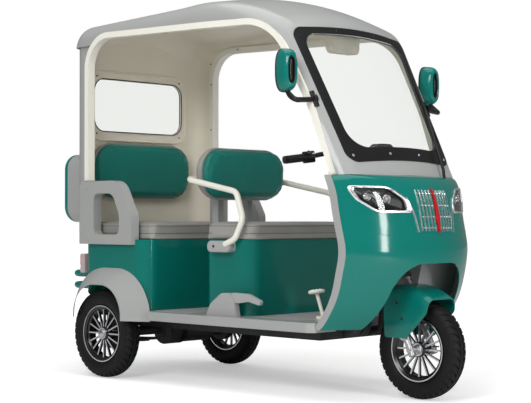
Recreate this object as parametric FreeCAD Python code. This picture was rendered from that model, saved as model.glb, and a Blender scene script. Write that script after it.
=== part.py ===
import FreeCAD, Part
import math
import os

os.makedirs("parts", exist_ok=True)
V = FreeCAD.Vector

# Three-wheeled auto rickshaw, in millimetres. X is forward, Y is to the left, Z is up. The
# origin is on the ground, midway between the frontmost and the rearmost point.

# Clearances and overruns
fit_gap = 0.3
running_clearance = 0.05
lap = 1.0
overrun = 5.0
cut_out = 60.0
far_out = 600.0
same_point = 1e-6

# Wheels
front_axle_x = 930.0
rear_axle_x = -696.0
track = 848.0
tyre_radius = 216.0
tyre_width = 92.0
tyre_seat_radius = 128.0
tyre_seat_width = 56.0
bead_gap = 2.0
bead_step = 3.0
tyre_side_shares = ((0.16, 0.91), (0.5, 1.0), (0.84, 0.87), (1.0, 0.55))
flange_radius = 139.0
flange_width = 74.0
flange_lip = 5.0
rim_wall = 5.0
rim_seat_gap = 1.5
rim_seat_land = 8.0
rim_well_slope = 6.0
rim_well_radius = 121.0
hub_radius = 34.0
hub_width = 62.0
hub_chamfer = 5.0
spoke_count = 16
spoke_width = 7.0
spoke_depth = 14.0
spoke_dish = 14.0
spoke_root = 3.0
axle_radius = 10.0

# Floor and chassis
floor_z = (298.0, 340.0)
floor_x = (-386.0, 700.0)
floor_half_width = 460.0
floor_corner = 40.0
floor_notch_length = 38.0
floor_notch_half_width = 439.5
floor_arch_depth = 80.0
rail_y = (250.0, 290.0)
rail_x = (-860.0, 600.0)
rail_height = 47.7
rail_z = (floor_z[0] - fit_gap - rail_height, floor_z[0] - fit_gap)
cross_member_length = 40.0
cross_member_xs = (-560.0, -260.0, 60.0, 380.0, 560.0)
neck_radius = 19.0
neck_ys = (60.0, 122.0)
neck_drop = 24.0
neck_run = 78.0
neck_bend = 30.0
neck_reaches = (80.0, 130.0)

# Rear axle and springs
axle_tube_radius = 24.0
axle_tube_end_y = 350.0
drum_radius = 80.0
drum_y = (346.0, 384.0)
spindle_end_y = 464.0
gearbox_radius = 78.0
gearbox_width = 100.0
motor_radius = 70.0
motor_length = 190.0
motor_forward = 30.0
motor_lap = 20.0
spring_half_length = 270.0
spring_leaf = 7.0
spring_leaf_shares = (1.0, 0.72, 0.44)
spring_width = 44.0
spring_y = 270.0
spring_sag = 18.0
hanger_length = 28.0
hanger_width = 36.0

# Rear body
rear_body_x = (-870.0, -387.0)
rear_body_z = (298.0, 681.0)
rear_body_half_width = 440.0
rear_body_wall = 6.0
rear_body_corner = 70.0
wheel_room_radius = 250.0
wheel_room_inner_y = 362.0
step_z = 655.5
step_y = 408.0
step_front_x = -462.0
store_x = (-790.0, -440.0)
store_half_width = 310.0
store_bottom = 460.0

# Rear fenders
fender_outer_y = 505.0
fender_outer_x = (-863.0, -493.0)
fender_inner_x = (-940.0, -350.0)
fender_bottom = 290.0
fender_top_outer = 463.0
fender_top_inner = 540.0
fender_wall = 5.0
fender_gap = 0.5
fender_corner_share = 0.42

# Armrests
armrest_x = (-860.0, -465.0)
armrest_z = (656.0, 968.0)
armrest_y = (415.0, 465.0)
armrest_shares = ((0, 0, 0), (0, 1, 0.1), (0.76, 1, 0.29), (1, 0.46, 0.19), (1, 0, 0))
armrest_hole_x = (-752.0, -555.0)
armrest_hole_z = (704.0, 906.0)
armrest_hole_shares = ((0, 0, 0.15), (0, 1, 0.15), (0.75, 1, 0.3), (1, 0.48, 0.25), (1, 0, 0.15))

# Canopy, a moulding swept along the roof's side profile
canopy_foot = (887.0, 970.0)
canopy_heading = 116.7
windshield_run = 729.7
brow_bend = (200.0, 36.88)
roof_bow = (1100.0, 30.92)
roof_dip = (-3000.0, -2.5)
roof_run = 611.2
rear_bend = (165.0, 88.0)
canopy_half_widths = (392.0, 430.0, 450.0)
canopy_crown_radius = 1500.0
canopy_crown_slope = 9.7
canopy_shoulder = 85.0
canopy_leg = 150.0
canopy_wall = 8.0
canopy_bottom = 968.3
canopy_lip_z = 1645.0

# Rear wall, its window and the linings
rear_wall_x = -976.0
rear_wall_bottom = 656.0
rear_wall_top = 1790.0
rear_wall_half_width = 440.0
rear_wall_crown = 22.0
rear_wall_bow = 8.0
rear_wall_bow_radius = 4500.0
rear_wall_corner = 100.0
rear_wall_thickness = 6.0
rear_wall_front_x = -640.0
lining_thickness = 4.0
lining_gap = 8.0
lining_layer = (17.0, 22.0)
lining_front_x = 500.0
lining_bottom = 766.0
window_half_width = 300.0
window_z = (1237.0, 1505.0)
window_corner = 65.0
window_thickness = 5.0
border_half_width = 380.0
border_z = (1190.0, 1550.0)
border_corner = 60.0
border_height = 4.0

# Side openings and their trims
opening_x = (-840.0, 796.0)
opening_z = (900.0, 1706.0)
opening_shares = ((0, 0, 0), (0, 1, 0.211), (0.7873, 0.9562, 0.372), (0.918, 0.4628, 0.62), (1, 0.0372, 0))
trim_width = 29.0
trim_depth = 42.0
trim_bottom = 972.0
trim_side_xs = (0.0, 533.0, 800.0)
trim_side_ys = (452.0, 424.0, 386.0)

# Windshield
glass_sheet_run = 790.0
screen_reach = 70.0
glass_low = 72.0
glass_high = 748.0
glass_half_widths = (350.0, 386.0)
glass_frame_low = 66.0
glass_frame_side = 46.0
glass_frame_high = 34.0
glass_frame_corners = (60.0, 50.0)
glass_corners = (105.0, 70.0)
glass_thickness = 5.0
glass_frame_proud = 3.0
glass_frame_depth = 14.0

# Seats
box_x = (-90.0, 225.0)
box_z = (floor_z[1] + fit_gap, 686.0)
box_half_width = 345.0
box_corner = 70.0
box_wall = 5.0
battery_x = (-60.0, 190.0)
battery_half_width = 290.0
battery_top = 600.0
driver_cushion_top = 763.0
cushion_corner = 60.0
cushion_edge = 14.0
driver_cushion_x = (-96.0, 237.0)
bench_cushion_x = (-868.0, -379.0)
bench_cushion_half_width = 404.0
bench_cushion_corner = 40.0
bench_cushion_top = 762.0
pad_share = 0.42
shell_share = 0.25
backrest_corner = 90.0
pad_inset = 4.0
pad_edge = 12.0
shell_inset = 8.0
shell_edge = 8.0
driver_backrest_x = (-220.0, -135.0)
driver_backrest_z = (872.0, 1125.0)
driver_backrest_half_width = 280.0
bench_backrest_x = (-960.0, -890.0)
bench_backrest_z = (884.0, 1179.0)
bench_backrest_half_width = 330.0
mount_half_width = 260.0
mount_inset = 30.0
joiner_x = (-205.0, -190.0)
joiner_half_width = 200.0
joiner_z = (920.0, 1080.0)
post_back_x = -262.0
post_y = (82.0, 118.0)
post_top = 1090.0
post_foot_z = (640.0, 684.0)

# Seat rails
rail_tube_radius = 14.0
rail_route = (
    (-235.0, -119.0, 973.0, 0),
    (-235.0, -323.0, 973.0, 60.0),
    (120.0, -330.0, 905.0, 60.0),
    (200.0, -366.0, 780.0, 60.0),
    (165.0, -382.0, 690.0, 40.0),
    (100.0, -382.0, 664.0, 0),
)
bracket_x = (-12.0, 130.0)
bracket_z = (630.0, 678.0)
bracket_depth = 42.0
bracket_corner = 18.0

# Cowl, from rows of height, side edge, nose, half width and fullness
cowl_z = (310.0, 968.0)
cowl_x = (700.0, 1028.0)
cowl_half_width = 432.0
cowl_row_shares = (
    (0.0, 0.067, 0.549, 1.0, 0.6),
    (0.106, 0.244, 0.762, 0.995, 0.6),
    (0.258, 0.393, 0.915, 0.988, 0.6),
    (0.365, 0.445, 0.976, 0.986, 0.6),
    (0.517, 0.494, 1.0, 0.984, 0.6),
    (0.623, 0.454, 0.982, 0.986, 0.6),
    (0.775, 0.387, 0.93, 0.99, 0.6),
    (0.927, 0.311, 0.823, 0.988, 0.7),
    (1.0, 0.189, 0.591, 0.921, 1.0),
)
bulge_share = 0.725
bulge_full_share = 0.375
cowl_tail = 200.0
cowl_wall = 6.0
band_width = 34.0
liner_wall = 6.0
arch_half_width = 240.0
arch_foot_half_width = 300.0
arch_z = (200.0, 450.0, 590.0)
arch_radii = (60.0, 150.0)
arch_shoulder = 20.0
tunnel_x = (616.0, 900.0)
tunnel_half_width = 150.0
tunnel_z = (floor_z[1] + fit_gap, 790.0)
tunnel_shares = ((0, 0, 0), (-0.06, 0.49, 0.13), (0.26, 0.94, 0.13), (1, 1, 0), (1, 0, 0))
column_hole_gap = 4.0
wheel_gap_top = 500.0

# Lamps, grille and ornament
lamp_y = (146.0, 402.0)
lamp_z = (806.0, 922.0)
lamp_shares = (
    (1, 1, 0.15), (0.35, 0.98, 0.78), (0.016, 0.45, 0.34), (0, 0, 0.1), (0.6, 0, 0.6),
    (0.88, 0.45, 0.52)
)
bezel_width = 9.0
bezel_proud = 4.0
bezel_depth = 10.0
lens_proud = 2.0
lens_depth = 4.0
bowl_edge = 2.0
bowl_wall = 5.0
bowl_depth = 62.0
tail_y = (118.0, 165.0)
tail_z = (723.0, 872.0)
tail_shares = (
    (0, 0, 0.02), (0.18, 0, 0.02), (0.44, 0.52, 1.2), (1, 0.93, 0), (0.86, 1, 0), (0.28, 0.55, 1.2)
)
bar_pairs = 5
bar_first_y = 19.0
bar_pitch = 21.0
bar_width = 5.5
bar_proud = 5.0
bar_z = (728.0, 905.0)
bar_rail_proud = 2.5
bar_rail_height = 5.0
bar_rail_zs = (742.0, 790.0, 838.0, 890.0)
blade_half_width = 13.0
blade_z = (722.0, 914.0)
blade_proud = 9.0
blade_shares = (
    (0.3, 0, 0.02), (-0.3, 0, 0.02), (-1, 0.3, 0.4), (-0.25, 1, 0.01), (0.25, 1, 0.01),
    (1, 0.4, 0.4)
)

# Shelf behind the windshield and the console above it
shelf_x = (690.0, 818.0, 852.0)
shelf_half_width = 338.0
shelf_z = (968.6, 986.0)
shelf_edge = 6.0
console_x = (455.0, 500.0)
console_half_width = 92.0
console_z = (1535.0, 1760.0)
console_corner = 28.0

# Mirrors and wiper
mirror_y = (456.0, 540.0)
mirror_x = (562.0, 637.0)
mirror_z = (1322.0, 1508.0)
mirror_corner = 40.0
mirror_crown = 22.0
stalk_radius = 9.0
stalk_bend = 14.0
stalk_elbow = (650.0, 500.0, 1284.0)
stalk_base = (653.0, 388.0, 1292.0)
stalk_foot_radius = 13.0
stalk_foot_half_length = 37.0
wiper_hub = (902.0, 205.0, 940.0)
wiper_hub_radius = 15.0
wiper_hub_length = 36.0
wiper_arm_radius = 7.0
wiper_arm_bend = 20.0
wiper_elbow = (30.0, 222.0, 26.0)
wiper_blade_run = (190.0, 530.0)
wiper_blade_ys = (318.0, 332.0)
wiper_blade_radius = 5.0
wiper_gap = 13.0

# Rear box, bumper and tail lamps
rear_end_x = -1146.0
rear_lid_thickness = 29.5
rear_box_half_width = 344.0
rear_box_z = (764.0, 1117.0)
rear_box_corner = 80.0
rear_box_wall = 4.0
rear_lid_edge = 10.0
bumper_radius = 17.0
bumper_zs = (440.0, 500.0)
bumper_x = (-880.0, -1090.0)
bumper_ys = (300.0, 340.0)
bumper_bend = 60.0
bumper_post_radius = 9.0
bumper_post_ys = (-220.0, 0, 220.0)
bumper_plate = (14.0, 68.0, 120.0)
tail_lamp_x = -905.0
tail_lamp_y = (370.0, 428.0)
tail_lamp_z = (510.0, 605.0)
tail_lamp_corner = 8.0

# Hand brake and brake pedal
quadrant_x = (8.0, 204.0)
quadrant_top = 445.0
quadrant_y = (385.0, 415.0)
quadrant_shares = ((0, 0, 0), (1, 0, 0), (0.93, 0.62, 0.2), (0.78, 1, 0.25), (0.52, 1, 0.5), (0.14, 0.5, 0.6))
lever_x = (150.0, 352.0)
lever_z = (396.0, 448.0)
lever_shares = (
    (0, 0.2, 0), (0.3, 0.1, 0.3), (0.62, 0.3, 0.5), (0.97, 0, 0.15), (1, 0.4, 0.2),
    (0.6, 0.95, 0.8), (0.1, 1, 0.3)
)
lever_inset = 6.0
pedal_x = (505.0, 535.0)
pedal_y = (195.0, 255.0)
pedal_z = (455.0, 465.0)
pedal_stem_radius = 8.0
pedal_foot_x = (540.0, 590.0)
pedal_foot_inset = 5.0
pedal_foot_height = 12.0

# Steering
steer_foot = (front_axle_x, tyre_radius)
steer_head = (540.0, 1070.0)
leg_y = 76.0
leg_radius = 16.0
leg_toe = 26.0
crown_reach = (330.0, 358.0)
crown_radius = 34.0
crown_plate = 20.0
crown_plate_corner = 18.0
column_radius = 16.0
column_reach = 920.0
head_tube_radius = 30.0
head_tube_reach = (380.0, 640.0)
skirt_x = (800.0, 1040.0)
skirt_z = (267.0, 520.0)
skirt_shares = (
    (0.02, 0, 0.05), (0.51, 0, 0.05), (0.967, 0.443, 0.1), (1, 0.67, 0), (1, 1, 0), (0, 1, 0),
    (0, 0.3, 0.1)
)
skirt_half_width = 100.0
skirt_crown_centre = (870.0, 216.0)
skirt_crown_radius = 281.0
skirt_edge = 42.0
skirt_wall = 4.0
skirt_hub = 40.0
bar_radius = 11.0
bar_route = (
    (435.0, 340.0, 1041.0, 0), (473.0, 230.0, 1056.0, 40.0), (535.0, 90.0, 1088.0, 60.0),
    (540.0, 0, 1088.0, 0)
)
clamp_radius = 26.0
clamp_height = 55.0
grip_radius = 17.0
grip_length = 100.0
grip_end = 4.0
switch_length = 42.0
switch_half_width = 21.0
switch_half_height = 26.0
switch_corner = 9.0
brake_lever_radius = 5.0
brake_lever_reach = 46.0
brake_lever_bend = 18.0
cluster_x = (684.0, 730.0)
cluster_half_width = 84.0
cluster_z = (1030.0, 1114.0)
cluster_corner = 12.0
cluster_shares = ((0, 0, 0.15), (1, 0, 0.15), (1, 0.6, 0.2), (0.72, 1, 0.3), (0.28, 1, 0.3), (0, 0.6, 0.2))
cluster_stem_x = (696.0, 722.0)
cluster_stem_half_width = 22.0


# Building blocks


def on_xz(y):
    return lambda a, b: V(a, y, b)


def on_yz(x):
    return lambda a, b: V(x, a, b)


def on_xy(z):
    return lambda a, b: V(a, b, z)


def rounded_edges(points, closed):
    """Lines and tangent arcs through (vector, radius) points."""
    count = len(points)
    starts, ends, middles = [], [], []
    for i, (here, radius) in enumerate(points):
        if radius <= 0 or (not closed and i in (0, count - 1)):
            starts.append(here)
            ends.append(here)
            middles.append(None)
            continue
        back = (points[i - 1][0] - here).normalize()
        ahead = (points[(i + 1) % count][0] - here).normalize()
        half = back.getAngle(ahead) / 2
        reach = radius / math.tan(half)
        inward = (back + ahead).normalize()
        starts.append(here + back * reach)
        ends.append(here + ahead * reach)
        middles.append(here + inward * (radius / math.sin(half) - radius))
    edges = []
    for i in range(count):
        if middles[i] is not None:
            edges.append(Part.Arc(starts[i], middles[i], ends[i]).toShape())
        if i < count - 1 or closed:
            a, b = ends[i], starts[(i + 1) % count]
            if (a - b).Length > same_point:
                edges.append(Part.LineSegment(a, b).toShape())
    return edges


def outline(points, place):
    spots = [(place(p[0], p[1]), p[2] if len(p) > 2 else 0) for p in points]
    return Part.Wire(rounded_edges(spots, True))


def prism(points, place, direction):
    return Part.Face(outline(points, place)).extrude(direction)


def shaped(us, vs, shares):
    """Outline points from shares of a span across and up, with corner radii as shares of the height."""
    width, height = us[1] - us[0], vs[1] - vs[0]
    return [(us[0] + width * s[0], vs[0] + height * s[1], height * s[2]) for s in shares]


def corners(us, vs, radius):
    """The rounded corners of an upright rectangle."""
    return [(us[0], vs[0], radius), (us[1], vs[0], radius), (us[1], vs[1], radius), (us[0], vs[1], radius)]


def box(xs, ys, zs):
    return Part.makeBox(xs[1] - xs[0], ys[1] - ys[0], zs[1] - zs[0], V(xs[0], ys[0], zs[0]))


def around(half):
    return (-half, half)


def grown(span, amount):
    return (span[0] - amount, span[1] + amount)


def rounded_box(xs, ys, zs, radius):
    return prism(corners(xs, ys, radius), on_xy(zs[0]), V(0, 0, zs[1] - zs[0]))


def softened(shape, radius, chosen):
    return shape.makeFillet(radius, [edge for edge in shape.Edges if chosen(edge)])


def rod(start, end, radius):
    return Part.makeCylinder(radius, (end - start).Length, start, end - start)


def tube(route, radius):
    """A round bar along (x, y, z, bend radius) points."""
    spots = [(V(x, y, z), bend) for x, y, z, bend in route]
    path = Part.Wire(rounded_edges(spots, False))
    ring = Part.Wire(Part.makeCircle(radius, spots[0][0], spots[1][0] - spots[0][0]))
    return path.makePipeShell([ring], True, False)


def revolved(points, centre):
    face = Part.Face(outline(points, lambda r, y: centre + V(r, y, 0)))
    return face.revolve(centre, V(0, 1, 0), 360)


def mirrored(shape):
    return shape.mirror(V(0, 0, 0), V(0, 1, 0))


def fused(shapes):
    return shapes[0].multiFuse(shapes[1:]).removeSplitter()


def both(shape):
    return Part.makeCompound([shape, mirrored(shape)])


def largest(shape):
    return max(shape.Solids, key=lambda solid: solid.Volume)


def node(name, shape):
    if len(shape.Solids) == 1:
        shape = shape.Solids[0]
    shape.exportStep("parts/" + name + ".step")


# Wheels


def tyre_shape(centre):
    half, seat = tyre_width / 2, tyre_seat_width / 2
    height = tyre_radius - flange_radius
    side = [(tyre_seat_radius, seat), (flange_radius + bead_gap, seat + bead_step)]
    side += [(flange_radius + height * up, half * out) for up, out in tyre_side_shares]
    return revolved(side + [(r, -y) for r, y in reversed(side)], centre)


def rim_shape(centre, side):
    half, seat = flange_width / 2, tyre_seat_width / 2 + rim_seat_gap
    land, well = seat - rim_seat_land, seat - rim_seat_land - rim_well_slope
    seat_radius = tyre_seat_radius - fit_gap
    outer = [(flange_radius, half), (flange_radius, half - flange_lip), (seat_radius, seat)]
    outer += [(seat_radius, land), (rim_well_radius, well)]
    inner = [(flange_radius - rim_wall, half), (seat_radius - rim_wall, seat)]
    inner += [(seat_radius - rim_wall, land), (rim_well_radius - rim_wall, well)]
    ring = outer + [(r, -y) for r, y in reversed(outer)]
    ring += [(r, -y) for r, y in inner] + list(reversed(inner))
    bore, half_hub = axle_radius + running_clearance, hub_width / 2
    edge, waist = hub_radius - hub_chamfer, half_hub - hub_chamfer
    hub_side = [(bore, half_hub), (edge, half_hub), (hub_radius, waist)]
    hub = revolved(hub_side + [(r, -y) for r, y in reversed(hub_side)], centre)
    back = side * spoke_dish - spoke_depth / 2
    reach = (hub_radius - spoke_root, rim_well_radius - rim_wall / 2)
    spoke = prism(
        corners(reach, around(spoke_width / 2), 0),
        lambda a, b: centre + V(a, back, b),
        V(0, spoke_depth, 0),
    )
    spokes = []
    for i in range(spoke_count):
        turned = spoke.copy()
        turned.rotate(centre, V(0, 1, 0), 360 * i / spoke_count)
        spokes.append(turned)
    return fused([revolved(ring, centre), hub] + spokes)


def make_wheels():
    front = V(front_axle_x, 0, tyre_radius)
    node("front_tyre", tyre_shape(front))
    node("front_rim", rim_shape(front, -1))
    for name, side in (("right", -1), ("left", 1)):
        centre = V(rear_axle_x, side * track / 2, tyre_radius)
        node("rear_tyre_" + name, tyre_shape(centre))
        node("rear_rim_" + name, rim_shape(centre, side))


# Canopy


def heading_vector(degrees):
    angle = math.radians(degrees)
    return V(math.cos(angle), 0, math.sin(angle))


def run(start, heading, moves):
    """A wire of tangent lines and arcs in the XZ plane, and the (point, heading) stations between them."""
    edges, here = [], V(start[0], 0, start[1])
    stations = [(here, heading)]
    for length, radius, turn in moves:
        if turn == 0:
            there = here + heading_vector(heading) * length
            edges.append(Part.LineSegment(here, there).toShape())
        else:
            centre = here + heading_vector(heading + 90) * radius
            middle = centre - heading_vector(heading + turn / 2 + 90) * radius
            there = centre - heading_vector(heading + turn + 90) * radius
            edges.append(Part.Arc(here, middle, there).toShape())
        heading += turn
        here = there
        stations.append((here, heading))
    return Part.Wire(edges), stations


crown_path, stations = run(canopy_foot, canopy_heading, (
    (windshield_run, 0, 0),
    (0, *brow_bend),
    (0, *roof_bow),
    (0, *roof_dip),
    (roof_run, 0, 0),
    (0, *rear_bend),
))
front_foot = stations[0][0]
front_up = heading_vector(canopy_heading)
front_in = heading_vector(canopy_heading + 90)


def moved_in(points, distance):
    """An open run of (across, depth, radius) corners, moved square to itself."""
    normals = []
    for (a, b, _), (c, d, _) in zip(points, points[1:]):
        length = math.hypot(c - a, d - b)
        normals.append(((b - d) / length, (c - a) / length))
    moved = []
    for (a, b, radius), before, after in zip(points, [normals[0]] + normals, normals + [normals[-1]]):
        scale = distance / (1 + before[0] * after[0] + before[1] * after[1])
        x, y = a + (before[0] + after[0]) * scale, b + (before[1] + after[1]) * scale
        moved.append((x, y, radius - distance if radius else 0))
    return moved


def canopy_side(half):
    """The canopy's outer face across the vehicle, as half width and depth below its crown."""
    slope = math.radians(canopy_crown_slope)
    apex = -canopy_crown_radius * (1 / math.cos(slope) - 1)
    corner = apex + math.tan(slope) * half
    return [
        (-half, canopy_leg, 0),
        (-half, corner, canopy_shoulder),
        (0, apex, canopy_crown_radius),
        (half, corner, canopy_shoulder),
        (half, canopy_leg, 0),
    ]


def canopy_section(half, outer, inner, station):
    spot, heading = station
    inward = heading_vector(heading + 90)
    points = moved_in(canopy_side(half), outer) + list(reversed(moved_in(canopy_side(half), inner)))
    return outline(points, lambda y, depth: spot + inward * depth + V(0, y, 0))


def canopy_sheet(outer, inner):
    """The layer of the canopy between two distances below its outer face."""
    low, high, roof = canopy_half_widths
    places = ((low, stations[0]), (high, stations[1]), (roof, stations[3]), (roof, stations[-1]))
    return crown_path.makePipeShell(
        [canopy_section(half, outer, inner, at) for half, at in places], True, False
    )


def front_sheet(outer, inner):
    """The same layer over the windshield, where the canopy is straight."""
    low, high, _ = canopy_half_widths
    top = low + (high - low) * glass_sheet_run / windshield_run
    end = (front_foot + front_up * glass_sheet_run, canopy_heading)
    sections = [canopy_section(low, outer, inner, stations[0]), canopy_section(top, outer, inner, end)]
    return Part.makeLoft(sections, True, True)


def side_opening(inset=0):
    """Both door openings as one solid through the vehicle."""
    wire = outline(shaped(opening_x, opening_z, opening_shares), on_xz(-far_out))
    if inset:
        wire = wire.makeOffset2D(-inset)
    return Part.Face(wire).extrude(V(0, 2 * far_out, 0))


def screen_prism(low, high, halves, radii, inset):
    """A tapered rounded outline through the canopy, square to the windshield."""
    narrow, wide = halves[0] - inset, halves[1] - inset
    spots = [(low + inset, -narrow, radii[0]), (high - inset, -wide, radii[1])]
    spots += [(high - inset, wide, radii[1]), (low + inset, narrow, radii[0])]
    start = front_foot - front_in * screen_reach
    return prism(spots, lambda s, y: start + front_up * s + V(0, y, 0), front_in * (2 * screen_reach))


def frame_prism(inset):
    return screen_prism(glass_low, glass_high, glass_half_widths, glass_frame_corners, inset)


def glass_prism(inset):
    halves = [half - glass_frame_side for half in glass_half_widths]
    return screen_prism(
        glass_low + glass_frame_low, glass_high - glass_frame_high, halves, glass_corners, inset
    )


def rear_wall_side(inset, front_x):
    """The rear wall in plan, moved forward and inward."""
    half, back = rear_wall_half_width - inset, rear_wall_x + inset
    corner = rear_wall_corner - inset
    return [
        (front_x, -half, 0),
        (back + rear_wall_crown, -half, corner),
        (back - rear_wall_bow, 0, rear_wall_bow_radius),
        (back + rear_wall_crown, half, corner),
        (front_x, half, 0),
    ]


def rear_sheet(outer, inner, zs):
    outside = rear_wall_side(outer, rear_wall_front_x)
    inside = rear_wall_side(inner, rear_wall_front_x)
    points = outside + list(reversed(inside))
    return prism(points, on_xy(zs[0]), V(0, 0, zs[1] - zs[0]))


def inside_wall(inset, zs):
    """All the room in front of the rear wall and between its sides."""
    return prism(rear_wall_side(inset, far_out), on_xy(zs[0]), V(0, 0, zs[1] - zs[0]))


def rear_window_prism(half, zs, corner, inset):
    spots = corners(around(half - inset), grown(zs, -inset), corner - inset)
    return prism(spots, on_yz(rear_wall_x - far_out), V(2 * far_out, 0, 0))


def behind_openings():
    """What the openings take from the rear wall: their prism and all in front of it below."""
    low = box((opening_x[0] - fit_gap, far_out), around(far_out), (0, opening_z[0] + lap))
    return side_opening().fuse(low)


def trim_shape():
    """The right-hand trim: a ring inside the opening, following the canopy's taper in plan."""
    ring = side_opening(fit_gap).cut(side_opening(trim_width))
    face = list(zip(trim_side_xs, trim_side_ys))
    spots = [(-2 * far_out, face[0][1])] + face
    spots = [(x, -y) for x, y in spots] + [(x, trim_depth - y) for x, y in reversed(spots)]
    slab = prism(spots, on_xy(trim_bottom), V(0, 0, 2 * far_out))
    return ring.common(slab)


def lining_shapes(opening):
    outer, inner = lining_layer
    roof = canopy_sheet(outer, inner).cut(opening).common(inside_wall(lining_gap, (0, 4 * far_out)))
    roof = roof.cut(box((lining_front_x, 2 * far_out), around(far_out), (0, 4 * far_out)))
    start = rear_wall_thickness + fit_gap
    zs = (lining_bottom, rear_wall_top)
    rear = rear_sheet(start, start + lining_thickness, zs)
    border = rear_window_prism(border_half_width, border_z, border_corner, 0)
    face = start + lining_thickness
    raised = rear_sheet(face - lap, face + border_height, border_z).common(border)
    rear = rear.fuse(raised).cut(behind_openings()).cut(canopy_sheet(-cut_out, inner + fit_gap))
    return roof, rear.cut(rear_window_prism(window_half_width, window_z, window_corner, 0)).removeSplitter()


def make_canopy():
    opening = side_opening()
    foot = box(around(2 * far_out), around(far_out), (0, canopy_bottom))
    lip = box((-2 * far_out, opening_x[0] - lap), around(far_out), (0, canopy_lip_z))
    shell = canopy_sheet(0, canopy_wall).cut(opening).cut(frame_prism(0)).cut(foot).cut(lip)
    node("roof_shell", largest(shell))
    above = canopy_sheet(-cut_out, canopy_wall + fit_gap)
    window = (window_half_width, window_z, window_corner)
    rear = rear_sheet(0, rear_wall_thickness, (rear_wall_bottom, rear_wall_top)).cut(above)
    rear = rear.cut(behind_openings()).cut(rear_window_prism(*window, 0))
    node("rear_panel", largest(rear))
    node("rear_window", rear_sheet(0, window_thickness, window_z).common(rear_window_prism(*window, fit_gap)))
    node("roof_lining", Part.makeCompound([largest(shape) for shape in lining_shapes(opening)]))
    node("opening_trims", both(largest(trim_shape())))
    frame = front_sheet(-glass_frame_proud, glass_frame_depth).common(frame_prism(fit_gap))
    node("windshield_frame", frame.cut(glass_prism(0)))
    node("windshield", front_sheet(0, glass_thickness).common(glass_prism(fit_gap)))


# Floor, chassis, rear axle and springs


def make_floor():
    x0, x1 = floor_x
    half = floor_half_width
    spots = [(x0, -half, 0), (x1, -half, floor_corner), (x1, half, floor_corner), (x0, half, 0)]
    tray = prism(spots, on_xy(floor_z[0]), V(0, 0, floor_z[1] - floor_z[0]))
    deep = grown(floor_z, overrun)
    arch = box((x1 - floor_arch_depth, x1 + overrun), around(arch_foot_half_width), deep)
    notch = box((x0 - overrun, x0 + floor_notch_length), (floor_notch_half_width, far_out), deep)
    node("floor_pan", tray.cut(arch).cut(both(notch)))


def steer_up():
    return V(steer_head[0] - steer_foot[0], 0, steer_head[1] - steer_foot[1]).normalize()


def axis_point(reach, ahead=0, y=0):
    """A point on the steering axis, moved square to it."""
    up = steer_up()
    return V(steer_foot[0], y, steer_foot[1]) + up * reach + V(up.z, 0, -up.x) * ahead


def chassis_shape():
    rail = box(rail_x, rail_y, rail_z)
    pieces = [rail, mirrored(rail)]
    for x in cross_member_xs:
        pieces.append(box((x, x + cross_member_length), around(rail_y[0] + overrun), rail_z))
    low, high = head_tube_reach
    pieces.append(rod(axis_point(low), axis_point(high), head_tube_radius))
    start = rail_x[1] - cross_member_length / 2
    for reach, y in zip(neck_reaches, neck_ys):
        end = axis_point(low + reach)
        z = rail_z[0] + neck_drop
        neck = tube(
            ((start, y, z, 0), (start + neck_run, y, z, neck_bend), (end.x, 0, end.z, 0)),
            neck_radius
        )
        pieces += [neck, mirrored(neck)]
    bore = rod(axis_point(low - overrun), axis_point(high + overrun), column_radius + running_clearance)
    return fused(pieces).cut(bore)


def axle_shape():
    centre = V(rear_axle_x, 0, tyre_radius)

    def disc(ys, radius, ahead=0):
        return rod(centre + V(ahead, ys[0], 0), centre + V(ahead, ys[1], 0), radius)

    motor_start = gearbox_width / 2 - motor_lap
    pieces = [
        disc(around(axle_tube_end_y), axle_tube_radius),
        disc(around(gearbox_width / 2), gearbox_radius)
    ]
    pieces.append(disc((motor_start, motor_start + motor_length), motor_radius, motor_forward))
    for side in (-1, 1):
        pieces.append(disc(sorted(side * y for y in drum_y), drum_radius))
        pieces.append(disc(sorted((side * drum_y[0], side * spindle_end_y)), axle_radius))
    return fused(pieces)


def leaf_shape(half, top, rise):
    """One curved leaf, level at its middle and raised at its ends."""
    x, thick = rear_axle_x, spring_leaf

    def arc(z):
        return Part.Arc(V(x - half, 0, z + rise), V(x, 0, z), V(x + half, 0, z + rise)).toShape()

    high = top + rise
    low = high - thick
    ends = [Part.LineSegment(V(at, 0, high), V(at, 0, low)).toShape() for at in (x - half, x + half)]
    face = Part.Face(Part.Wire(Part.__sortEdges__([arc(top), arc(top - thick)] + ends)))
    leaf = face.extrude(V(0, spring_width, 0))
    leaf.translate(V(0, spring_y - spring_width / 2, 0))
    return leaf


def spring_shape():
    top = tyre_radius - axle_tube_radius - fit_gap
    pieces = []
    for i, share in enumerate(spring_leaf_shares):
        pieces.append(
            leaf_shape(spring_half_length * share, top - i * spring_leaf, spring_sag * share * share)
        )
    ys = (spring_y - hanger_width / 2, spring_y + hanger_width / 2)
    for side in (-1, 1):
        eye = rear_axle_x + side * spring_half_length
        xs = (eye - hanger_length / 2, eye + hanger_length / 2)
        pieces.append(box(xs, ys, (top + spring_sag - spring_leaf, rail_z[0] - fit_gap)))
    return fused(pieces)


def make_running_gear():
    node("chassis_frame", chassis_shape())
    node("rear_axle", axle_shape())
    node("leaf_springs", both(spring_shape()))


# Rear body, fenders, armrests, box, bumper and lamps


def wheel_room(radius, inner_y, outer_y):
    """The right-hand round room over a rear wheel, open below."""
    dome = rod(V(rear_axle_x, -outer_y, tyre_radius), V(rear_axle_x, -inner_y, tyre_radius), radius)
    below = box((rear_axle_x - radius, rear_axle_x + radius), (-outer_y, -inner_y), (0, tyre_radius))
    return dome.fuse(below)


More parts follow.
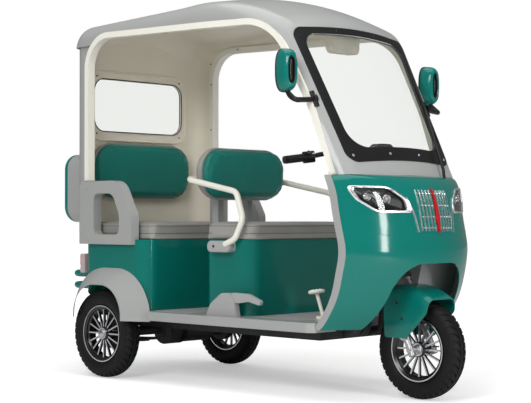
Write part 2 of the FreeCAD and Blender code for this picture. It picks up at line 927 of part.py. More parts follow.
def rear_body_shape():
    x0 = rear_body_x[0]
    low, high = rear_body_z
    half, wall = rear_body_half_width, rear_body_wall
    outer = rounded_box(rear_body_x, around(half), rear_body_z, rear_body_corner)
    inside = rounded_box(
        grown(rear_body_x, -wall), around(half - wall), (low - overrun, high - wall),
        rear_body_corner - wall
    )
    cover = wheel_room(wheel_room_radius + wall, wheel_room_inner_y - wall, half - lap).common(outer)
    room = wheel_room(wheel_room_radius, wheel_room_inner_y, far_out)
    body = fused([outer.cut(inside), cover, mirrored(cover)]).cut(both(room))
    step = box((x0 - overrun, step_front_x), (step_y, far_out), (step_z, high + overrun))
    shelf = box((x0 + lap, step_front_x + wall), (step_y - wall, half - lap), (step_z - wall, high - lap))
    shelf = shelf.common(outer)
    body = fused([body, shelf, mirrored(shelf)]).cut(both(step))
    well = box(store_x, around(store_half_width), (store_bottom, high - lap))
    hollow = box(
        grown(store_x, -wall), around(store_half_width - wall),
        (store_bottom + wall, high + overrun)
    )
    return fused([body, well]).cut(hollow)


def fender_shape():
    """The right-hand fender: a lofted shell from the body's side out over the wheel."""
    def arch(xs, top, y):
        radius = (xs[1] - xs[0]) * fender_corner_share
        spots = [
            (xs[0], fender_bottom, 0), (xs[0], top, radius), (xs[1], top, radius),
            (xs[1], fender_bottom, 0)
        ]
        return outline(spots, on_xz(y))

    def layer(inset):
        inner = arch(
            grown(fender_inner_x, -inset), fender_top_inner - inset,
            -rear_body_half_width - fender_gap
        )
        outer = arch(grown(fender_outer_x, -inset), fender_top_outer - inset, -fender_outer_y)
        return Part.makeLoft([inner, outer], True, True)

    return layer(0).cut(layer(fender_wall))


def armrest_shape():
    depth = V(0, armrest_y[1] - armrest_y[0], 0)
    start = on_xz(-armrest_y[1])
    plate = prism(shaped(armrest_x, armrest_z, armrest_shares), start, depth)
    hole = prism(shaped(armrest_hole_x, armrest_hole_z, armrest_hole_shares), start, depth)
    wall = box((-2 * far_out, opening_x[0] + lap), (-rear_wall_half_width - lap, 0), (0, 2 * far_out))
    return largest(plate.cut(hole).cut(wall))


def box_prism(xs, inset):
    spots = corners(around(rear_box_half_width - inset), grown(rear_box_z, -inset), rear_box_corner - inset)
    return prism(spots, on_yz(xs[0]), V(xs[1] - xs[0], 0, 0))


def make_rear_box():
    lid_front = rear_end_x + rear_lid_thickness
    start = lid_front + fit_gap
    body = box_prism((start, rear_wall_x + rear_wall_corner), 0)
    body = body.cut(box_prism((start - overrun, rear_wall_x - rear_wall_bow - rear_box_wall), rear_box_wall))
    node("rear_box", largest(body.cut(inside_wall(-fit_gap, (0, 4 * far_out)))))
    lid = box_prism((rear_end_x, lid_front), 0)
    node("rear_box_lid", softened(lid, rear_lid_edge, lambda edge: edge.BoundBox.XMax < rear_end_x + lap))


def bumper_shape():
    front, back = bumper_x
    near, far = bumper_ys
    pieces = []
    for z in bumper_zs:
        route = (
            (front, -near, z, 0), (back, -far, z, bumper_bend), (back, far, z, bumper_bend),
            (front, near, z, 0)
        )
        pieces.append(tube(route, bumper_radius))
    for y in bumper_post_ys:
        pieces.append(rod(V(back, y, bumper_zs[0]), V(back, y, bumper_zs[1]), bumper_post_radius))
    thick, width, height = bumper_plate
    face = rear_body_x[0] - fit_gap
    middle = sum(bumper_zs) / 2
    for y in (-near, near):
        ys, zs = (y - width / 2, y + width / 2), (middle - height / 2, middle + height / 2)
        pieces.append(box((face - thick, face), ys, zs))
    return fused(pieces)


def make_rear_body():
    node("rear_body", rear_body_shape())
    node("rear_fenders", both(fender_shape()))
    node("armrests", both(armrest_shape()))
    make_rear_box()
    node("rear_bumper", bumper_shape())
    lamp = rounded_box((tail_lamp_x, rear_body_x[0] - fit_gap), tail_lamp_y, tail_lamp_z, tail_lamp_corner)
    node("tail_lamps", both(lamp))


# Seats


def seat_cushion(xs, half, zs, corner):
    block = rounded_box(xs, around(half), zs, corner)
    return softened(block, cushion_edge, lambda edge: edge.BoundBox.ZMin > zs[1] - fit_gap)


def backrest_parts(xs, half, zs):
    """Pad, band and back shell of one backrest."""
    back, front = xs
    depth = front - back

    def slab(start, end, inset):
        spots = corners(around(half - inset), grown(zs, -inset), backrest_corner)
        return prism(spots, on_yz(start), V(end - start, 0, 0))

    seam, rear_seam = front - depth * pad_share, back + depth * shell_share
    pad = softened(slab(seam, front, pad_inset), pad_edge, lambda edge: edge.BoundBox.XMin > front - fit_gap)
    band = slab(rear_seam, seam - fit_gap, 0)
    shell = slab(back, rear_seam - fit_gap, shell_inset)
    return pad, band, softened(shell, shell_edge, lambda edge: edge.BoundBox.XMax < back + fit_gap)


def post_shape():
    """The right-hand post of the driver's backrest, with its foot on the seat box."""
    xs = (post_back_x, driver_backrest_x[0] - fit_gap)
    ys = (-post_y[1], -post_y[0])
    post = box(xs, ys, (post_foot_z[0], post_top))
    foot = box((post_back_x, box_x[0] - fit_gap), ys, post_foot_z)
    return fused([post, foot])


def seat_rail_shape():
    side = -box_half_width - fit_gap
    bracket = prism(
        corners(bracket_x, bracket_z, bracket_corner), on_xz(side - bracket_depth),
        V(0, bracket_depth, 0)
    )
    return fused([tube(rail_route, rail_tube_radius), bracket])


def make_seats():
    outer = rounded_box(box_x, around(box_half_width), box_z, box_corner)
    inside = rounded_box(
        grown(box_x, -box_wall), around(box_half_width - box_wall), grown(box_z, overrun),
        box_corner - box_wall
    )
    node("driver_seat_box", outer.cut(inside))
    node("battery_pack", box(battery_x, around(battery_half_width), (box_z[0], battery_top)))
    zs = (box_z[1] + fit_gap, driver_cushion_top)
    node("driver_seat_cushion", seat_cushion(driver_cushion_x, box_half_width, zs, cushion_corner))
    zs = (rear_body_z[1] + fit_gap, bench_cushion_top)
    node("bench_cushion", seat_cushion(bench_cushion_x, bench_cushion_half_width, zs, bench_cushion_corner))
    pad, band, shell = backrest_parts(driver_backrest_x, driver_backrest_half_width, driver_backrest_z)
    node("driver_backrest_pad", pad)
    joiner = box(joiner_x, around(joiner_half_width), joiner_z)
    node("driver_backrest_back", fused([band, shell, joiner]))
    pad, band, shell = backrest_parts(bench_backrest_x, bench_backrest_half_width, bench_backrest_z)
    node("bench_backrest_pad", pad)
    zs = grown(bench_backrest_z, -mount_inset)
    mount = box((-2 * far_out, band.BoundBox.XMin + lap), around(mount_half_width), zs)
    lined = rear_wall_thickness + lining_thickness + 2 * fit_gap
    node("bench_backrest_band", fused([band, mount.common(inside_wall(lined, zs))]))
    node("backrest_posts", both(post_shape()))
    node("seat_rails", both(seat_rail_shape()))


# Cowl


def cowl_rows():
    """(height, side edge, nose, half width, fullness) of each row."""
    low, high = cowl_z
    back, front = cowl_x
    for up, edge, nose, width, full in cowl_row_shares:
        span = front - back
        yield low + (high - low) * up, back + span * edge, back + span * nose, cowl_half_width * width, full


def cowl_solid(inset):
    """The cowl filled in, its surface moved in by a distance, with straight sides behind its edge."""
    wires = []
    for z, edge, nose, half, full in cowl_rows():
        half, nose = half - inset, nose - inset
        bulge = edge + (nose - edge) * (bulge_share + bulge_full_share * full)
        middle = (16 * nose - 2 * edge - 8 * bulge) / 6
        curve = Part.BezierCurve()
        curve.setPoles([
            V(edge, -half, z), V(bulge, -half * full, z), V(middle, 0, z), V(bulge, half * full, z),
            V(edge, half, z),
        ])
        back = edge - cowl_tail
        spots = [V(edge, half, z), V(back, half, z), V(back, -half, z), V(edge, -half, z)]
        lines = [Part.LineSegment(a, b).toShape() for a, b in zip(spots, spots[1:])]
        wires.append(Part.Wire([curve.toShape()] + lines))
    return Part.makeLoft(wires, True, False)


def cowl_layer(outer, inner, within):
    """The part of a shape that lies between two distances below the cowl's surface."""
    return largest(within.common(cowl_solid(outer)).cut(cowl_solid(inner)))


def edge_slice(start, end):
    """A slice across the vehicle that follows the cowl's side edge, between two distances from it."""
    curves = []
    for shift in (start, end):
        curve = Part.BSplineCurve()
        curve.interpolate([V(edge + shift, -far_out, z) for z, edge, _, _, _ in cowl_rows()])
        curves.append(curve.toShape())
    return Part.makeRuledSurface(*curves).extrude(V(0, 2 * far_out, 0))


def through_cowl(points):
    return prism(points, on_yz(cowl_x[0] - cowl_tail), V(far_out, 0, 0))


def arch_prism():
    foot, spring, top = arch_z
    low, high = arch_radii
    shoulder = arch_half_width - arch_shoulder
    half = [(arch_foot_half_width, foot, 0), (arch_half_width, spring, low), (shoulder, top, high)]
    return through_cowl([(-y, z, r) for y, z, r in half] + list(reversed(half)))


def lamp_prism(inset):
    """The right-hand headlamp's outline through the cowl, moved in by a distance."""
    wire = outline(shaped((-lamp_y[0], -lamp_y[1]), lamp_z, lamp_shares), on_yz(cowl_x[0] - cowl_tail))
    if inset:
        wire = wire.makeOffset2D(-inset)
    return Part.Face(wire).extrude(V(far_out, 0, 0))


def make_headlamps(behind):
    ring = lamp_prism(fit_gap).cut(lamp_prism(bezel_width)).cut(behind)
    bezel = cowl_layer(-bezel_proud, bezel_depth, ring)
    strip = through_cowl(shaped((-tail_y[0], -tail_y[1]), tail_z, tail_shares)).cut(lamp_prism(bezel_width))
    tail = cowl_layer(-bezel_proud, -fit_gap, strip.cut(behind))
    bowl = cowl_layer(bezel_depth - lap, bowl_depth, lamp_prism(bowl_edge).cut(behind))
    hollow = cowl_layer(lens_depth, bowl_depth - bowl_wall, lamp_prism(bowl_edge + bowl_wall).cut(behind))
    node("headlamp_bezels", both(fused([bezel, tail, bowl.cut(hollow)])))
    window = lamp_prism(bezel_width + fit_gap).cut(behind)
    node("headlamp_lenses", both(cowl_layer(-lens_proud, lens_depth, window)))


def make_grille(behind):
    last_y = bar_first_y + bar_pitch * (bar_pairs - 1)
    pieces = []
    for i in range(bar_pairs):
        y = bar_first_y + bar_pitch * i
        bar = through_cowl(corners((y - bar_width / 2, y + bar_width / 2), bar_z, 0))
        bar = cowl_layer(-bar_proud, -fit_gap, bar.cut(behind))
        pieces += [bar, mirrored(bar)]
    for z in bar_rail_zs:
        rail = through_cowl(corners(around(last_y), (z - bar_rail_height / 2, z + bar_rail_height / 2), 0))
        pieces.append(cowl_layer(-bar_rail_proud, -fit_gap, rail.cut(behind)))
    node("grille", fused(pieces))
    blade = through_cowl(shaped((0, blade_half_width), blade_z, blade_shares)).cut(behind)
    node("grille_ornament", cowl_layer(-blade_proud, -bar_rail_proud - fit_gap, blade))


def tunnel_shapes():
    """The housing over the front wheel inside the cab, and its hollow."""
    x0, x1 = tunnel_x
    z0, z1 = tunnel_z
    wall, half = liner_wall, tunnel_half_width
    outer = prism(shaped(tunnel_x, tunnel_z, tunnel_shares), on_xz(-half), V(0, 2 * half, 0))
    spots = shaped((x0 + wall, x1 + wall), (z0 - overrun, z1 - wall), tunnel_shares)
    hollow = prism(spots, on_xz(wall - half), V(0, 2 * (half - wall), 0))
    return outer, hollow


def liner_shape():
    band = cowl_solid(0).cut(cowl_solid(liner_wall)).common(edge_slice(-band_width, -fit_gap))
    shield = cowl_solid(0).common(edge_slice(-band_width - liner_wall, -band_width))
    tunnel, hollow = tunnel_shapes()
    tunnel = tunnel.cut(edge_slice(-band_width - lap, far_out))
    liner = fused([shield, tunnel] + band.Solids).cut(hollow)
    liner = liner.cut(rod(axis_point(0), axis_point(2 * far_out), head_tube_radius + column_hole_gap))
    liner = liner.cut(
        box((tunnel_x[0] - far_out, 2 * far_out), around(tunnel_half_width - liner_wall), (0, wheel_gap_top))
    )
    return largest(
        liner.cut(box((-far_out, floor_x[1] + fit_gap), around(far_out), (0, floor_z[1] + fit_gap)))
    )


def shelf_shape():
    """The dashboard: a shelf behind the windshield's foot, its front edge following the crown."""
    back, corner, front = shelf_x
    half, z = shelf_half_width, shelf_z[0]
    spots = [V(corner, half, z), V(back, half, z), V(back, -half, z), V(corner, -half, z)]
    lines = [Part.LineSegment(a, b).toShape() for a, b in zip(spots, spots[1:])]
    arc = Part.Arc(V(corner, -half, z), V(front, 0, z), V(corner, half, z)).toShape()
    shelf = Part.Face(Part.Wire(lines + [arc])).extrude(V(0, 0, shelf_z[1] - z))
    return softened(
        shelf, shelf_edge,
        lambda edge: edge.BoundBox.XMax < back + lap and edge.BoundBox.YLength > half
    )


def make_cowl():
    behind = edge_slice(-far_out, 0)
    lamp_hole = lamp_prism(0)
    skin = cowl_solid(0).cut(cowl_solid(cowl_wall)).cut(behind)
    skin = skin.cut(arch_prism()).cut(lamp_hole).cut(mirrored(lamp_hole))
    node("front_cowl", largest(skin))
    make_headlamps(behind)
    make_grille(behind)
    node("cowl_liner", liner_shape())
    node("dashboard", shelf_shape())


# Mirrors, wiper, console, hand brake and pedal


def over_glass(s, y, lift):
    """A point above the windshield's outer face."""
    depth = canopy_crown_radius - math.sqrt(canopy_crown_radius ** 2 - y ** 2)
    return front_foot + front_up * s + front_in * (depth - lift) + V(0, y, 0)


def spot(point, bend=0):
    return (point.x, point.y, point.z, bend)


def mirror_shapes():
    """The right-hand mirror's head and its arm."""
    back, front = mirror_x
    head = prism(
        corners((-mirror_y[1], -mirror_y[0]), mirror_z, mirror_corner), on_yz(back),
        V(front - back, 0, 0)
    )
    head = softened(head, mirror_crown, lambda edge: edge.BoundBox.XMin > front - fit_gap)
    x, y, z = stalk_elbow
    base = V(stalk_base[0], -stalk_base[1], stalk_base[2])
    top = V((back + front) / 2, -y, mirror_z[0] + lap)
    arm = tube((spot(top), (x, -y, z, stalk_bend), spot(base)), stalk_radius)
    foot = rod(
        base - front_up * stalk_foot_half_length, base + front_up * stalk_foot_half_length,
        stalk_foot_radius
    )
    arm = fused([arm, foot]).cut(canopy_sheet(-fit_gap, canopy_shoulder - lap)).cut(head)
    return head, largest(arm.cut(trim_shape()))


def wiper_shape():
    hub = V(*wiper_hub)
    half = V(0, 0, wiper_hub_length / 2)
    low, high = [over_glass(s, y, wiper_gap) for s, y in zip(wiper_blade_run, wiper_blade_ys)]
    elbow = over_glass(*wiper_elbow)
    route = (spot(hub), spot(elbow, wiper_arm_bend), spot((low + high) / 2))
    pieces = [rod(hub - half, hub + half, wiper_hub_radius), tube(route, wiper_arm_radius)]
    return largest(fused(pieces + [rod(low, high, wiper_blade_radius)]).cut(cowl_solid(-fit_gap)))


def hand_brake_shape():
    ys = (-quadrant_y[1], -quadrant_y[0])
    zs = (floor_z[1] + fit_gap, quadrant_top)
    quadrant = prism(shaped(quadrant_x, zs, quadrant_shares), on_xz(ys[0]), V(0, ys[1] - ys[0], 0))
    inner = grown(ys, -lever_inset)
    lever = prism(shaped(lever_x, lever_z, lever_shares), on_xz(inner[0]), V(0, inner[1] - inner[0], 0))
    return fused([quadrant, lever])


def pedal_shape():
    floor_top = floor_z[1] + fit_gap
    y = -sum(pedal_y) / 2
    middle = (pedal_x[0] + pedal_x[1]) / 2
    foot_ys = grown((-pedal_y[1], -pedal_y[0]), -pedal_foot_inset)
    stem_foot = (pedal_foot_x[0] + pedal_foot_x[1]) / 2 - pedal_foot_inset
    return fused([
        box(pedal_x, (-pedal_y[1], -pedal_y[0]), pedal_z),
        rod(V(middle, y, pedal_z[0]), V(stem_foot, y, floor_top + pedal_foot_height / 2), pedal_stem_radius),
        box(pedal_foot_x, foot_ys, (floor_top, floor_top + pedal_foot_height)),
    ])


def cluster_shape():
    """The instruments on the dashboard: a stem and a rounded pod."""
    pod = rounded_box(cluster_x, around(cluster_half_width), cluster_z, cluster_corner)
    outline = shaped(around(cluster_half_width), cluster_z, cluster_shares)
    top = prism(outline, on_yz(cluster_x[0]), V(cluster_x[1] - cluster_x[0], 0, 0))
    stem = box(cluster_stem_x, around(cluster_stem_half_width), (shelf_z[1] + fit_gap, cluster_z[0] + lap))
    return fused([pod.common(top), stem])


def make_fittings():
    head, arm = mirror_shapes()
    node("mirror_heads", both(head))
    node("mirror_arms", both(arm))
    node("wiper", wiper_shape())
    face = corners(around(console_half_width), console_z, console_corner)
    console = prism(face, on_yz(console_x[0]), V(console_x[1] - console_x[0], 0, 0))
    node("overhead_console", largest(console.cut(canopy_sheet(-cut_out, lining_layer[1] + fit_gap))))
    node("hand_brake", hand_brake_shape())
    node("brake_pedal", pedal_shape())
    node("cluster", cluster_shape())


# Steering


def fork_shape():
    low, high = crown_reach
    pieces = []
    for y in (-leg_y, leg_y):
        pieces.append(rod(axis_point(-leg_toe, 0, y), axis_point(high, 0, y), leg_radius))
    pieces.append(rod(axis_point(low), axis_point(high), crown_radius))
    half = leg_y + crown_plate
    spots = corners(around(crown_plate), around(half), crown_plate_corner)
    pieces.append(prism(spots, lambda a, y: axis_point(low, a, y), steer_up() * (high - low)))
    pieces.append(rod(axis_point(low), axis_point(column_reach), column_radius))
    pieces.append(rod(V(front_axle_x, -half, tyre_radius), V(front_axle_x, half, tyre_radius), axle_radius))
    return fused(pieces)


def front_fender_shape():
    """A crowned shell over the front tyre, open below and at both ends, notched for the fork's legs."""
    centre = V(skirt_crown_centre[0], 0, skirt_crown_centre[1])

    def crown(inset):
        radius, half, edge = skirt_crown_radius - inset, skirt_half_width - inset, skirt_edge - inset
        return revolved(
            [(skirt_hub, -half), (radius, -half, edge), (radius, half, edge), (skirt_hub, half)],
            centre
        )

    side = prism(shaped(skirt_x, skirt_z, skirt_shares), on_xz(-far_out), V(0, 2 * far_out, 0))
    fender = crown(0).common(side).cut(crown(skirt_wall))
    for y in (-leg_y, leg_y):
        fender = fender.cut(rod(axis_point(0, 0, y), axis_point(crown_reach[1], 0, y), leg_radius + fit_gap))
    return largest(fender)


def handlebar_shape():
    right = [(x, -y, z, bend) for x, y, z, bend in bar_route]
    end, shoulder = V(*right[0][:3]), V(*right[1][:3])
    along = (shoulder - end).normalize()
    ahead = along.cross(V(0, 0, 1)).normalize()
    up = ahead.cross(along)
    ahead = ahead if ahead.x > 0 else ahead * -1
    grip = rod(end - along * grip_end, end + along * grip_length, grip_radius)
    spots = corners(around(switch_half_width), around(switch_half_height), switch_corner)
    start = end + along * grip_length
    switch = prism(spots, lambda a, b: start + ahead * a + up * b, along * switch_length)
    root = start + along * (switch_length / 2)
    reach = ahead * brake_lever_reach
    route = (spot(root), spot(root + reach, brake_lever_bend), spot(end + reach))
    lever = tube(route, brake_lever_radius)
    half = fused([tube(right, bar_radius), grip, switch, lever])
    clamp = rod(axis_point(column_reach + fit_gap), axis_point(column_reach + clamp_height), clamp_radius)
    return fused([half, mirrored(half), clamp])


def make_steering():
    node("fork", fork_shape())
    node("front_fender", front_fender_shape())
    node("handlebar", handlebar_shape())


make_wheels()
make_canopy()
make_floor()
make_running_gear()
make_rear_body()
make_seats()
make_cowl()
make_fittings()
make_steering()
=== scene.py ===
"""The looks of a light three-wheeled auto rickshaw: paint, trim, glass, tyres, padded seats,
lamps, small fittings, a pale studio and the camera. Metres, X forward, Y left, Z up."""

import math
import bmesh
import bpy
from mathutils import Matrix, Vector
from mathutils.bvhtree import BVHTree


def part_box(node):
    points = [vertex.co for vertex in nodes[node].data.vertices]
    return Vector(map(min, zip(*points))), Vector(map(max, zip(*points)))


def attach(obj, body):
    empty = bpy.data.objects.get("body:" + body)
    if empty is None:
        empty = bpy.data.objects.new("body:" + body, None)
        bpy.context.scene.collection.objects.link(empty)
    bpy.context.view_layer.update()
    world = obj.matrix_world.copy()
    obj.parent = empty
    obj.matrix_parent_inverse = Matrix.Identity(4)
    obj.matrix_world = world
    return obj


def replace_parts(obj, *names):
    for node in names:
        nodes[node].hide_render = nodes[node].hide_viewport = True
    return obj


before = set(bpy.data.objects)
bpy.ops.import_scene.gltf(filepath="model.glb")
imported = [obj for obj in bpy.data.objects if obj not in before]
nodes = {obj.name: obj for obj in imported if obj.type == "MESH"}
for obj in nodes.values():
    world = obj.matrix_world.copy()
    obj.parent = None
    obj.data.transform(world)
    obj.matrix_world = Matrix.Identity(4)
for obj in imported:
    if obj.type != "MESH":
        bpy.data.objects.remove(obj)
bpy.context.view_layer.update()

scene = bpy.context.scene
both_sides = ((-1, "right"), (1, "left"))

# The view of the photograph, found from the wheels, the floor and the canopy
camera_place = Vector((4.5627, -4.7153, 0.7803))
camera_yaw = 44.1456
camera_pitch = 0.7338
camera_lens = 92.346
camera_sensor = 36.0

# The white room: its brightness as a light, and as the vehicle's gloss mirrors it
ambient = 0.36
mirrored = 0.20

# Colours, linear
teal = (0.0025, 0.160, 0.132)
grey = (0.345, 0.352, 0.345)
cream = (0.78, 0.73, 0.62)
ivory = (0.81, 0.79, 0.71)
black = (0.010, 0.010, 0.011)
seat_grey = (0.30, 0.295, 0.275)
seat_teal = (0.0050, 0.170, 0.140)
bright_metal = (0.8, 0.8, 0.82)
machined_face = (0.62, 0.62, 0.64)
recess_black = (0.012, 0.012, 0.013)


# Materials


def principled(name, colour, roughness, metallic=0.0, specular=0.5):
    mat = bpy.data.materials.new(name)
    mat.use_nodes = True
    shader = mat.node_tree.nodes["Principled BSDF"]
    shader.inputs["Base Color"].default_value = (*colour, 1)
    shader.inputs["Roughness"].default_value = roughness
    shader.inputs["Metallic"].default_value = metallic
    shader.inputs["Specular IOR Level"].default_value = specular
    return mat, shader, mat.node_tree


def add(tree, kind, **values):
    """A new node; each value goes to the input of that name, or else to the node itself."""
    node = tree.nodes.new(kind)
    for key, value in values.items():
        if key in node.inputs:
            node.inputs[key].default_value = value
        else:
            setattr(node, key, value)
    return node


def calculated(tree, operation, *terms):
    """One step of arithmetic on numbers and other nodes' outputs."""
    node = add(tree, "ShaderNodeMath", operation=operation)
    for socket, term in zip(node.inputs, terms):
        if isinstance(term, float):
            socket.default_value = term
        else:
            tree.links.new(term, socket)
    return node.outputs[0]


def patterned(tree, kind, output, **values):
    """A texture that keeps its place on the piece."""
    place = add(tree, "ShaderNodeTexCoord")
    texture = add(tree, kind, **values)
    tree.links.new(place.outputs["Object"], texture.inputs["Vector"])
    return texture.outputs[output]


def noise(tree, scale, detail=3.0):
    return patterned(tree, "ShaderNodeTexNoise", "Fac", Scale=scale, Detail=detail)


def spread(tree, source, low, high):
    """Widens a value between nought and one to low and high."""
    remap = add(tree, "ShaderNodeMapRange")
    remap.inputs["To Min"].default_value = low
    remap.inputs["To Max"].default_value = high
    tree.links.new(source, remap.inputs["Value"])
    return remap.outputs["Result"]


def uneven(tree, shader, scale, low, high):
    """Roughness that wanders between two values."""
    tree.links.new(spread(tree, noise(tree, scale), low, high), shader.inputs["Roughness"])


def bumped(tree, shader, height, distance, strength=1.0):
    bump = add(tree, "ShaderNodeBump", Distance=distance, Strength=strength)
    tree.links.new(height, bump.inputs["Height"])
    tree.links.new(bump.outputs["Normal"], shader.inputs["Normal"])


def tinted(tree, shader, colour, source, amount):
    """A base colour a little darker and lighter by turns."""
    mix = add(tree, "ShaderNodeMix", data_type="RGBA")
    mix.inputs["A"].default_value = (*[c * (1 - amount) for c in colour], 1)
    mix.inputs["B"].default_value = (*[min(1, c * (1 + amount)) for c in colour], 1)
    tree.links.new(source, mix.inputs["Factor"])
    tree.links.new(mix.outputs["Result"], shader.inputs["Base Color"])


def gloss_paint(name, colour, roughness=0.12, coat=0.25, tint=0.05):
    """Sprayed gloss with a faint orange peel and slow changes in gloss."""
    mat, shader, tree = principled(name, colour, roughness, specular=0.22)
    shader.inputs["Coat Weight"].default_value = coat
    shader.inputs["Coat Roughness"].default_value = 0.05
    tinted(tree, shader, colour, noise(tree, 3.0), tint)
    uneven(tree, shader, 9.0, roughness * 0.8, roughness * 1.3)
    bumped(tree, shader, noise(tree, 260.0, 1.0), distance=0.00005)
    return mat


def moulded(name, colour, roughness=0.45, grain=700.0, depth=0.00008, tint=0.06):
    """Moulded plastic or powder coat: fine even grain."""
    mat, shader, tree = principled(name, colour, roughness, specular=0.3)
    tinted(tree, shader, colour, noise(tree, 5.0), tint)
    uneven(tree, shader, 30.0, roughness * 0.85, roughness * 1.15)
    bumped(tree, shader, noise(tree, grain, 2.0), depth)
    return mat


def vinyl(name, colour, roughness, sheen, depth=0.00025):
    """Seat vinyl: small pebbled cells and a soft sheen."""
    mat, shader, tree = principled(name, colour, roughness, specular=0.3)
    cells = patterned(tree, "ShaderNodeTexVoronoi", "Distance", Scale=480.0)
    bumped(tree, shader, cells, depth, strength=0.6)
    tinted(tree, shader, colour, noise(tree, 8.0), 0.10)
    shader.inputs["Sheen Weight"].default_value = sheen
    return mat


def metal(name, colour, roughness, grain=0.0):
    mat, shader, tree = principled(name, colour, roughness, metallic=1.0)
    uneven(tree, shader, 40.0, roughness * 0.7, roughness * 1.5)
    if grain:
        bumped(tree, shader, noise(tree, 900.0), grain)
    return mat


def glass(name, tint, weight=0.97, index=1.08):
    """Thin clear sheet: a low index keeps it from bending what lies behind it."""
    mat, shader, tree = principled(name, tint, 0.02)
    shader.inputs["Transmission Weight"].default_value = weight
    shader.inputs["IOR"].default_value = index
    bumped(tree, shader, noise(tree, 6.0), distance=0.0002, strength=0.2)
    return mat


def rubber(name, colour=(0.006, 0.006, 0.0062)):
    mat, shader, tree = principled(name, colour, 0.6, specular=0.25)
    tinted(tree, shader, colour, noise(tree, 14.0), 0.25)
    uneven(tree, shader, 22.0, 0.48, 0.72)
    bumped(tree, shader, noise(tree, 800.0), distance=0.0002)
    return mat


def rim_metal(name, sideways_from=0.86):
    """Machined faces where the rim looks sideways, black paint in its recesses."""
    mat, shader, tree = principled(name, bright_metal, 0.25, metallic=1.0)
    place = add(tree, "ShaderNodeTexCoord")
    split = add(tree, "ShaderNodeSeparateXYZ")
    tree.links.new(place.outputs["Normal"], split.inputs["Vector"])
    sideways = calculated(tree, "ABSOLUTE", split.outputs["Y"])
    machined = calculated(tree, "GREATER_THAN", sideways, sideways_from)
    mix = add(tree, "ShaderNodeMix", data_type="RGBA")
    mix.inputs["A"].default_value = (*recess_black, 1)
    mix.inputs["B"].default_value = (*machined_face, 1)
    tree.links.new(machined, mix.inputs["Factor"])
    tree.links.new(mix.outputs["Result"], shader.inputs["Base Color"])
    tree.links.new(machined, shader.inputs["Metallic"])
    uneven(tree, shader, 60.0, 0.18, 0.32)
    return mat


def lens(name, colour):
    """A moulded lamp lens with fine upright ribs."""
    mat, shader, tree = principled(name, colour, 0.12)
    waves = patterned(tree, "ShaderNodeTexWave", "Fac", Scale=90.0, bands_direction="Y")
    bumped(tree, shader, waves, distance=0.0008, strength=0.5)
    tinted(tree, shader, colour, noise(tree, 20.0), 0.12)
    shader.inputs["Coat Weight"].default_value = 0.8
    return mat


materials = {
    "teal": gloss_paint("teal paint", teal),
    "grey": gloss_paint("grey paint", grey, roughness=0.30, coat=0.3),
    "cream": moulded("cream lining", cream, roughness=0.5, grain=500.0),
    "ivory": gloss_paint("ivory paint", ivory, roughness=0.28, coat=0.3, tint=0.02),
    "black": moulded("black plastic", black, roughness=0.38, grain=600.0),
    "gloss black": gloss_paint("gloss black", black, coat=0.3),
    "lamp black": moulded("lamp black", (0.006, 0.006, 0.007), roughness=0.3, grain=400.0),
    "trim chrome": metal("trim chrome", (0.96, 0.97, 0.98), roughness=0.26),
    "grey plastic": moulded("grey plastic", (0.36, 0.365, 0.36), roughness=0.4, grain=500.0),
    "lamp smoke": lens("smoked lamp lens", (0.50, 0.40, 0.39)),
    "steel": moulded("black chassis paint", (0.018, 0.018, 0.019), roughness=0.5, grain=200.0),
    "bare": metal("bare steel", (0.55, 0.55, 0.56), roughness=0.32, grain=0.00003),
    "chrome": metal("bright chrome", (0.86, 0.87, 0.88), roughness=0.10),
    "mirror": metal("mirror silver", (0.9, 0.91, 0.92), roughness=0.02),
    "rim": rim_metal("machined rim"),
    "tyre": rubber("tyre rubber"),
    "seal": rubber("window seal", (0.02, 0.02, 0.02)),
    "clear": glass("clear glass", (0.87, 0.885, 0.86)),
    "lens clear": glass("clear lamp lens", (0.98, 0.99, 0.99), weight=1.0, index=1.35),
    "red": gloss_paint("red enamel", (0.42, 0.006, 0.010), roughness=0.2, coat=0.8),
    "lamp red": lens("red lamp lens", (0.45, 0.012, 0.014)),
    "lamp pale": lens("pale lamp lens", (0.62, 0.60, 0.58)),
    "seat grey": vinyl("grey vinyl", seat_grey, roughness=0.5, sheen=0.1),
    "seat teal": vinyl("teal vinyl", seat_teal, roughness=0.30, sheen=0.05, depth=0.00012),
    "thread": moulded("seam thread", (0.11, 0.11, 0.115), roughness=0.7, grain=900.0),
    "teal seam": moulded("teal seam", (0.004, 0.07, 0.055), roughness=0.6, grain=900.0),
}

# The CAD nodes that wear each look
looks = {
    "teal": ["rear_body", "driver_seat_box", "front_cowl", "front_fender", "rear_box_lid", "rear_bumper",
             "mirror_heads"],
    "grey": ["roof_shell", "rear_panel", "floor_pan", "rear_fenders", "armrests", "cowl_liner", "rear_box",
             "backrest_posts"],
    "cream": ["roof_lining", "dashboard", "overhead_console"],
    "ivory": ["opening_trims", "seat_rails", "brake_pedal"],
    "black": ["windshield_frame", "handlebar", "cluster", "mirror_arms", "wiper", "battery_pack"],
    "steel": ["chassis_frame", "rear_axle", "leaf_springs"],
    "bare": ["fork"],
    "grey plastic": ["hand_brake"],
    "trim chrome": ["headlamp_bezels", "grille"],
    "rim": ["front_rim", "rear_rim_right", "rear_rim_left"],
    "tyre": ["front_tyre", "rear_tyre_right", "rear_tyre_left"],
    "clear": ["windshield", "rear_window"],
    "lens clear": ["headlamp_lenses"],
    "red": ["grille_ornament"],
    "lamp smoke": ["tail_lamps"],
    "seat grey": ["driver_seat_cushion", "bench_cushion", "driver_backrest_back", "bench_backrest_band"],
    "seat teal": ["driver_backrest_pad", "bench_backrest_pad"],
}


def dress(obj, look):
    obj.data.materials.clear()
    obj.data.materials.append(materials[look])


for look, names in looks.items():
    for name in names:
        dress(nodes[name], look)


# Forms: (vertices, faces) pairs that join into pieces

crease_angle = 35.0
wire_facets = 3
head_facets = 14
loop_steps = 10


